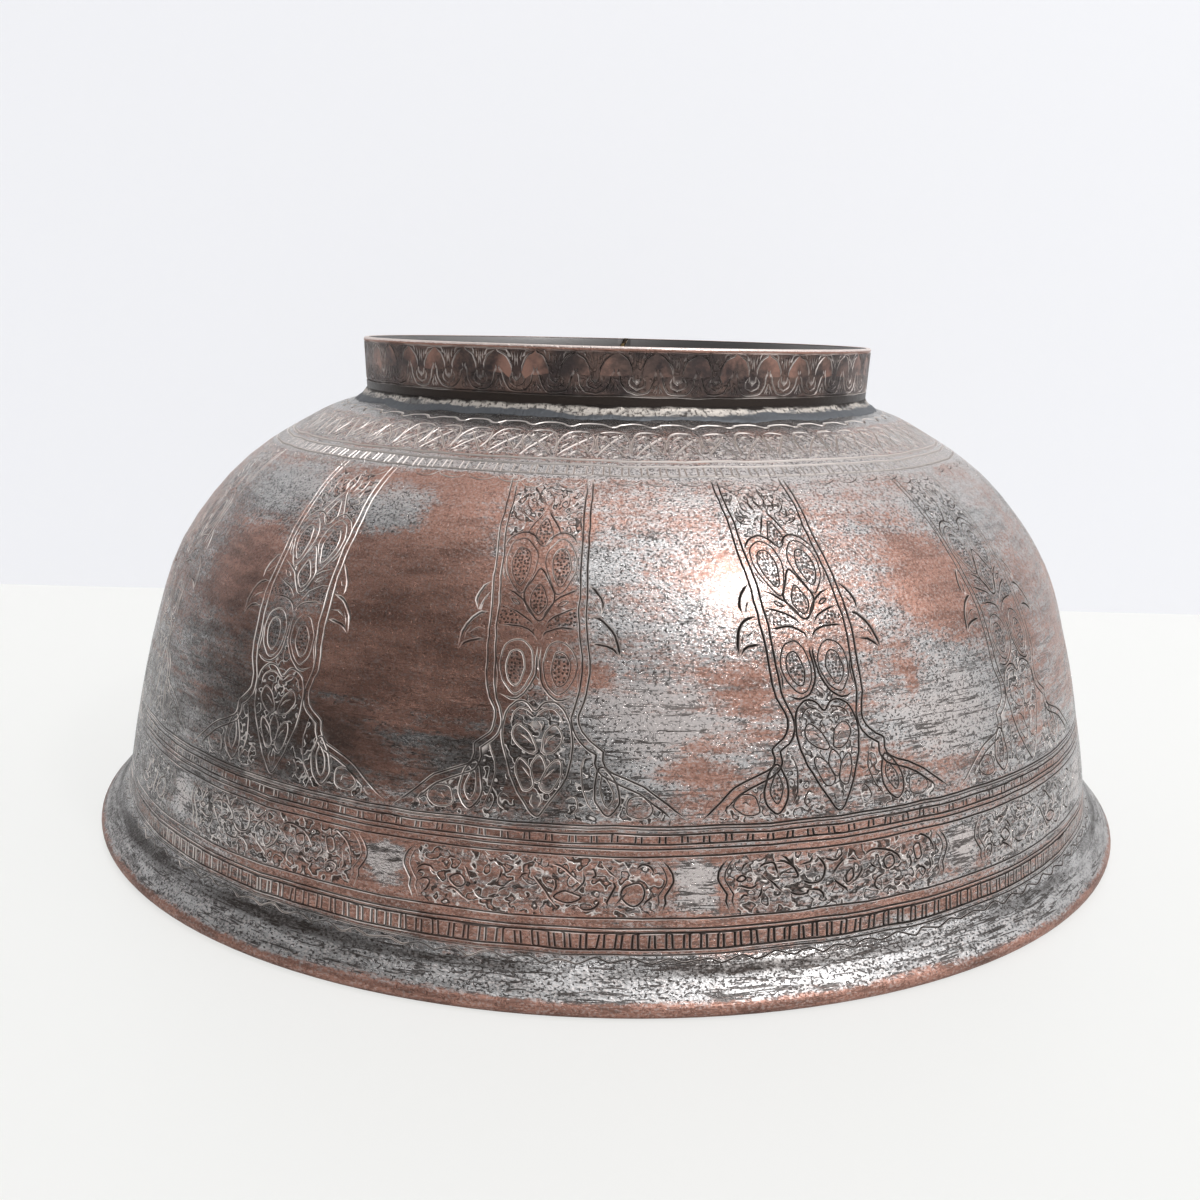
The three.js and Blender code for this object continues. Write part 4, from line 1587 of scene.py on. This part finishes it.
def pale_surface(name, colour, glow):
    """A pale surface whose shading the camera sees only in part, over an even glow, and clear from behind."""
    f = Finish(name)
    seen = Value(f.tree, "ShaderNodeLightPath", {}, "Is Camera Ray")
    shaded = [part * SHADING_SEEN for part in colour]
    f.surface(base_color=seen.mix(colour, shaded), roughness=0.5, emission_color=glow, emission_strength=seen)
    behind = Value(f.tree, "ShaderNodeNewGeometry", {}, "Backfacing") * seen
    clear = Value(f.tree, "ShaderNodeBsdfTransparent", {})
    sides = Value(f.tree, "ShaderNodeMixShader", {0: behind, 1: f.shader.outputs[0], 2: clear})
    join(f.tree, f.tree.nodes["Material Output"].inputs["Surface"], sides)
    return f.material


def stage_surface(name, corners, colour, glow):
    """A flat part of the stage, from its corners."""
    bm = bmesh.new()
    bm.faces.new([bm.verts.new(corner) for corner in corners])
    mesh = bpy.data.meshes.new(name)
    bm.to_mesh(mesh)
    bm.free()
    mesh.materials.append(pale_surface("Pale " + name, colour, glow))
    obj = bpy.data.objects.new(name, mesh)
    bpy.context.scene.collection.objects.link(obj)


class BOWL_OT_stage(bpy.types.Operator):
    """Sets the pale table, the wall behind it and the soft light"""

    bl_idname = "bowl.stage"
    bl_label = "Stage"

    def execute(self, context):
        colours = context.scene.bowl_colours
        left, right, back, top = -ROOM_REACH, ROOM_REACH, BACKDROP_BEHIND, BACKDROP_TALL
        table = [(left, left, 0), (right, left, 0), (right, right, 0), (left, right, 0)]
        wall = [(left, back, 0), (right, back, 0), (right, back, top), (left, back, top)]
        stage_surface("floor", table, colours.floor, colours.floor_glow)
        stage_surface("backdrop", wall, colours.backdrop, colours.backdrop_glow)
        world = bpy.data.worlds.new("Soft room")
        context.scene.world = world
        world.use_nodes = True
        light_room(world)
        area_lamp("window", WINDOW, WINDOW_AIM, WINDOW_SIZE, WINDOW_POWER)
        context.scene.view_settings.view_transform = "Standard"
        return {"FINISHED"}


class BOWL_PT_panel(bpy.types.Panel):
    """Lists the steps that make the bowl"""

    bl_label = "Engraved copper bowl"
    bl_idname = "BOWL_PT_panel"
    bl_space_type = "VIEW_3D"
    bl_region_type = "UI"
    bl_category = "Bowl"

    def draw(self, context):
        for step in STEPS:
            self.layout.operator(step.bl_idname)
        for group in (context.scene.bowl_sizes, context.scene.bowl_colours):
            for name in group.bl_rna.properties.keys():
                if name not in ("rna_type", "name"):
                    self.layout.prop(group, name)


STEPS = (BOWL_OT_camera, BOWL_OT_body, BOWL_OT_foot, BOWL_OT_solder, BOWL_OT_stage)
CLASSES = (BowlSizes, BowlColours, *STEPS, BOWL_PT_panel)


def register():
    for item in CLASSES:
        bpy.utils.register_class(item)
    bpy.types.Scene.bowl_sizes = PointerProperty(type=BowlSizes)
    bpy.types.Scene.bowl_colours = PointerProperty(type=BowlColours)


def unregister():
    del bpy.types.Scene.bowl_colours
    del bpy.types.Scene.bowl_sizes
    for item in reversed(CLASSES):
        bpy.utils.unregister_class(item)


def main():
    register()
    bpy.ops.bowl.camera()
    bpy.ops.bowl.body()
    bpy.ops.bowl.foot()
    bpy.ops.bowl.solder()
    bpy.ops.bowl.stage()


if __name__ == "__main__":
    main()
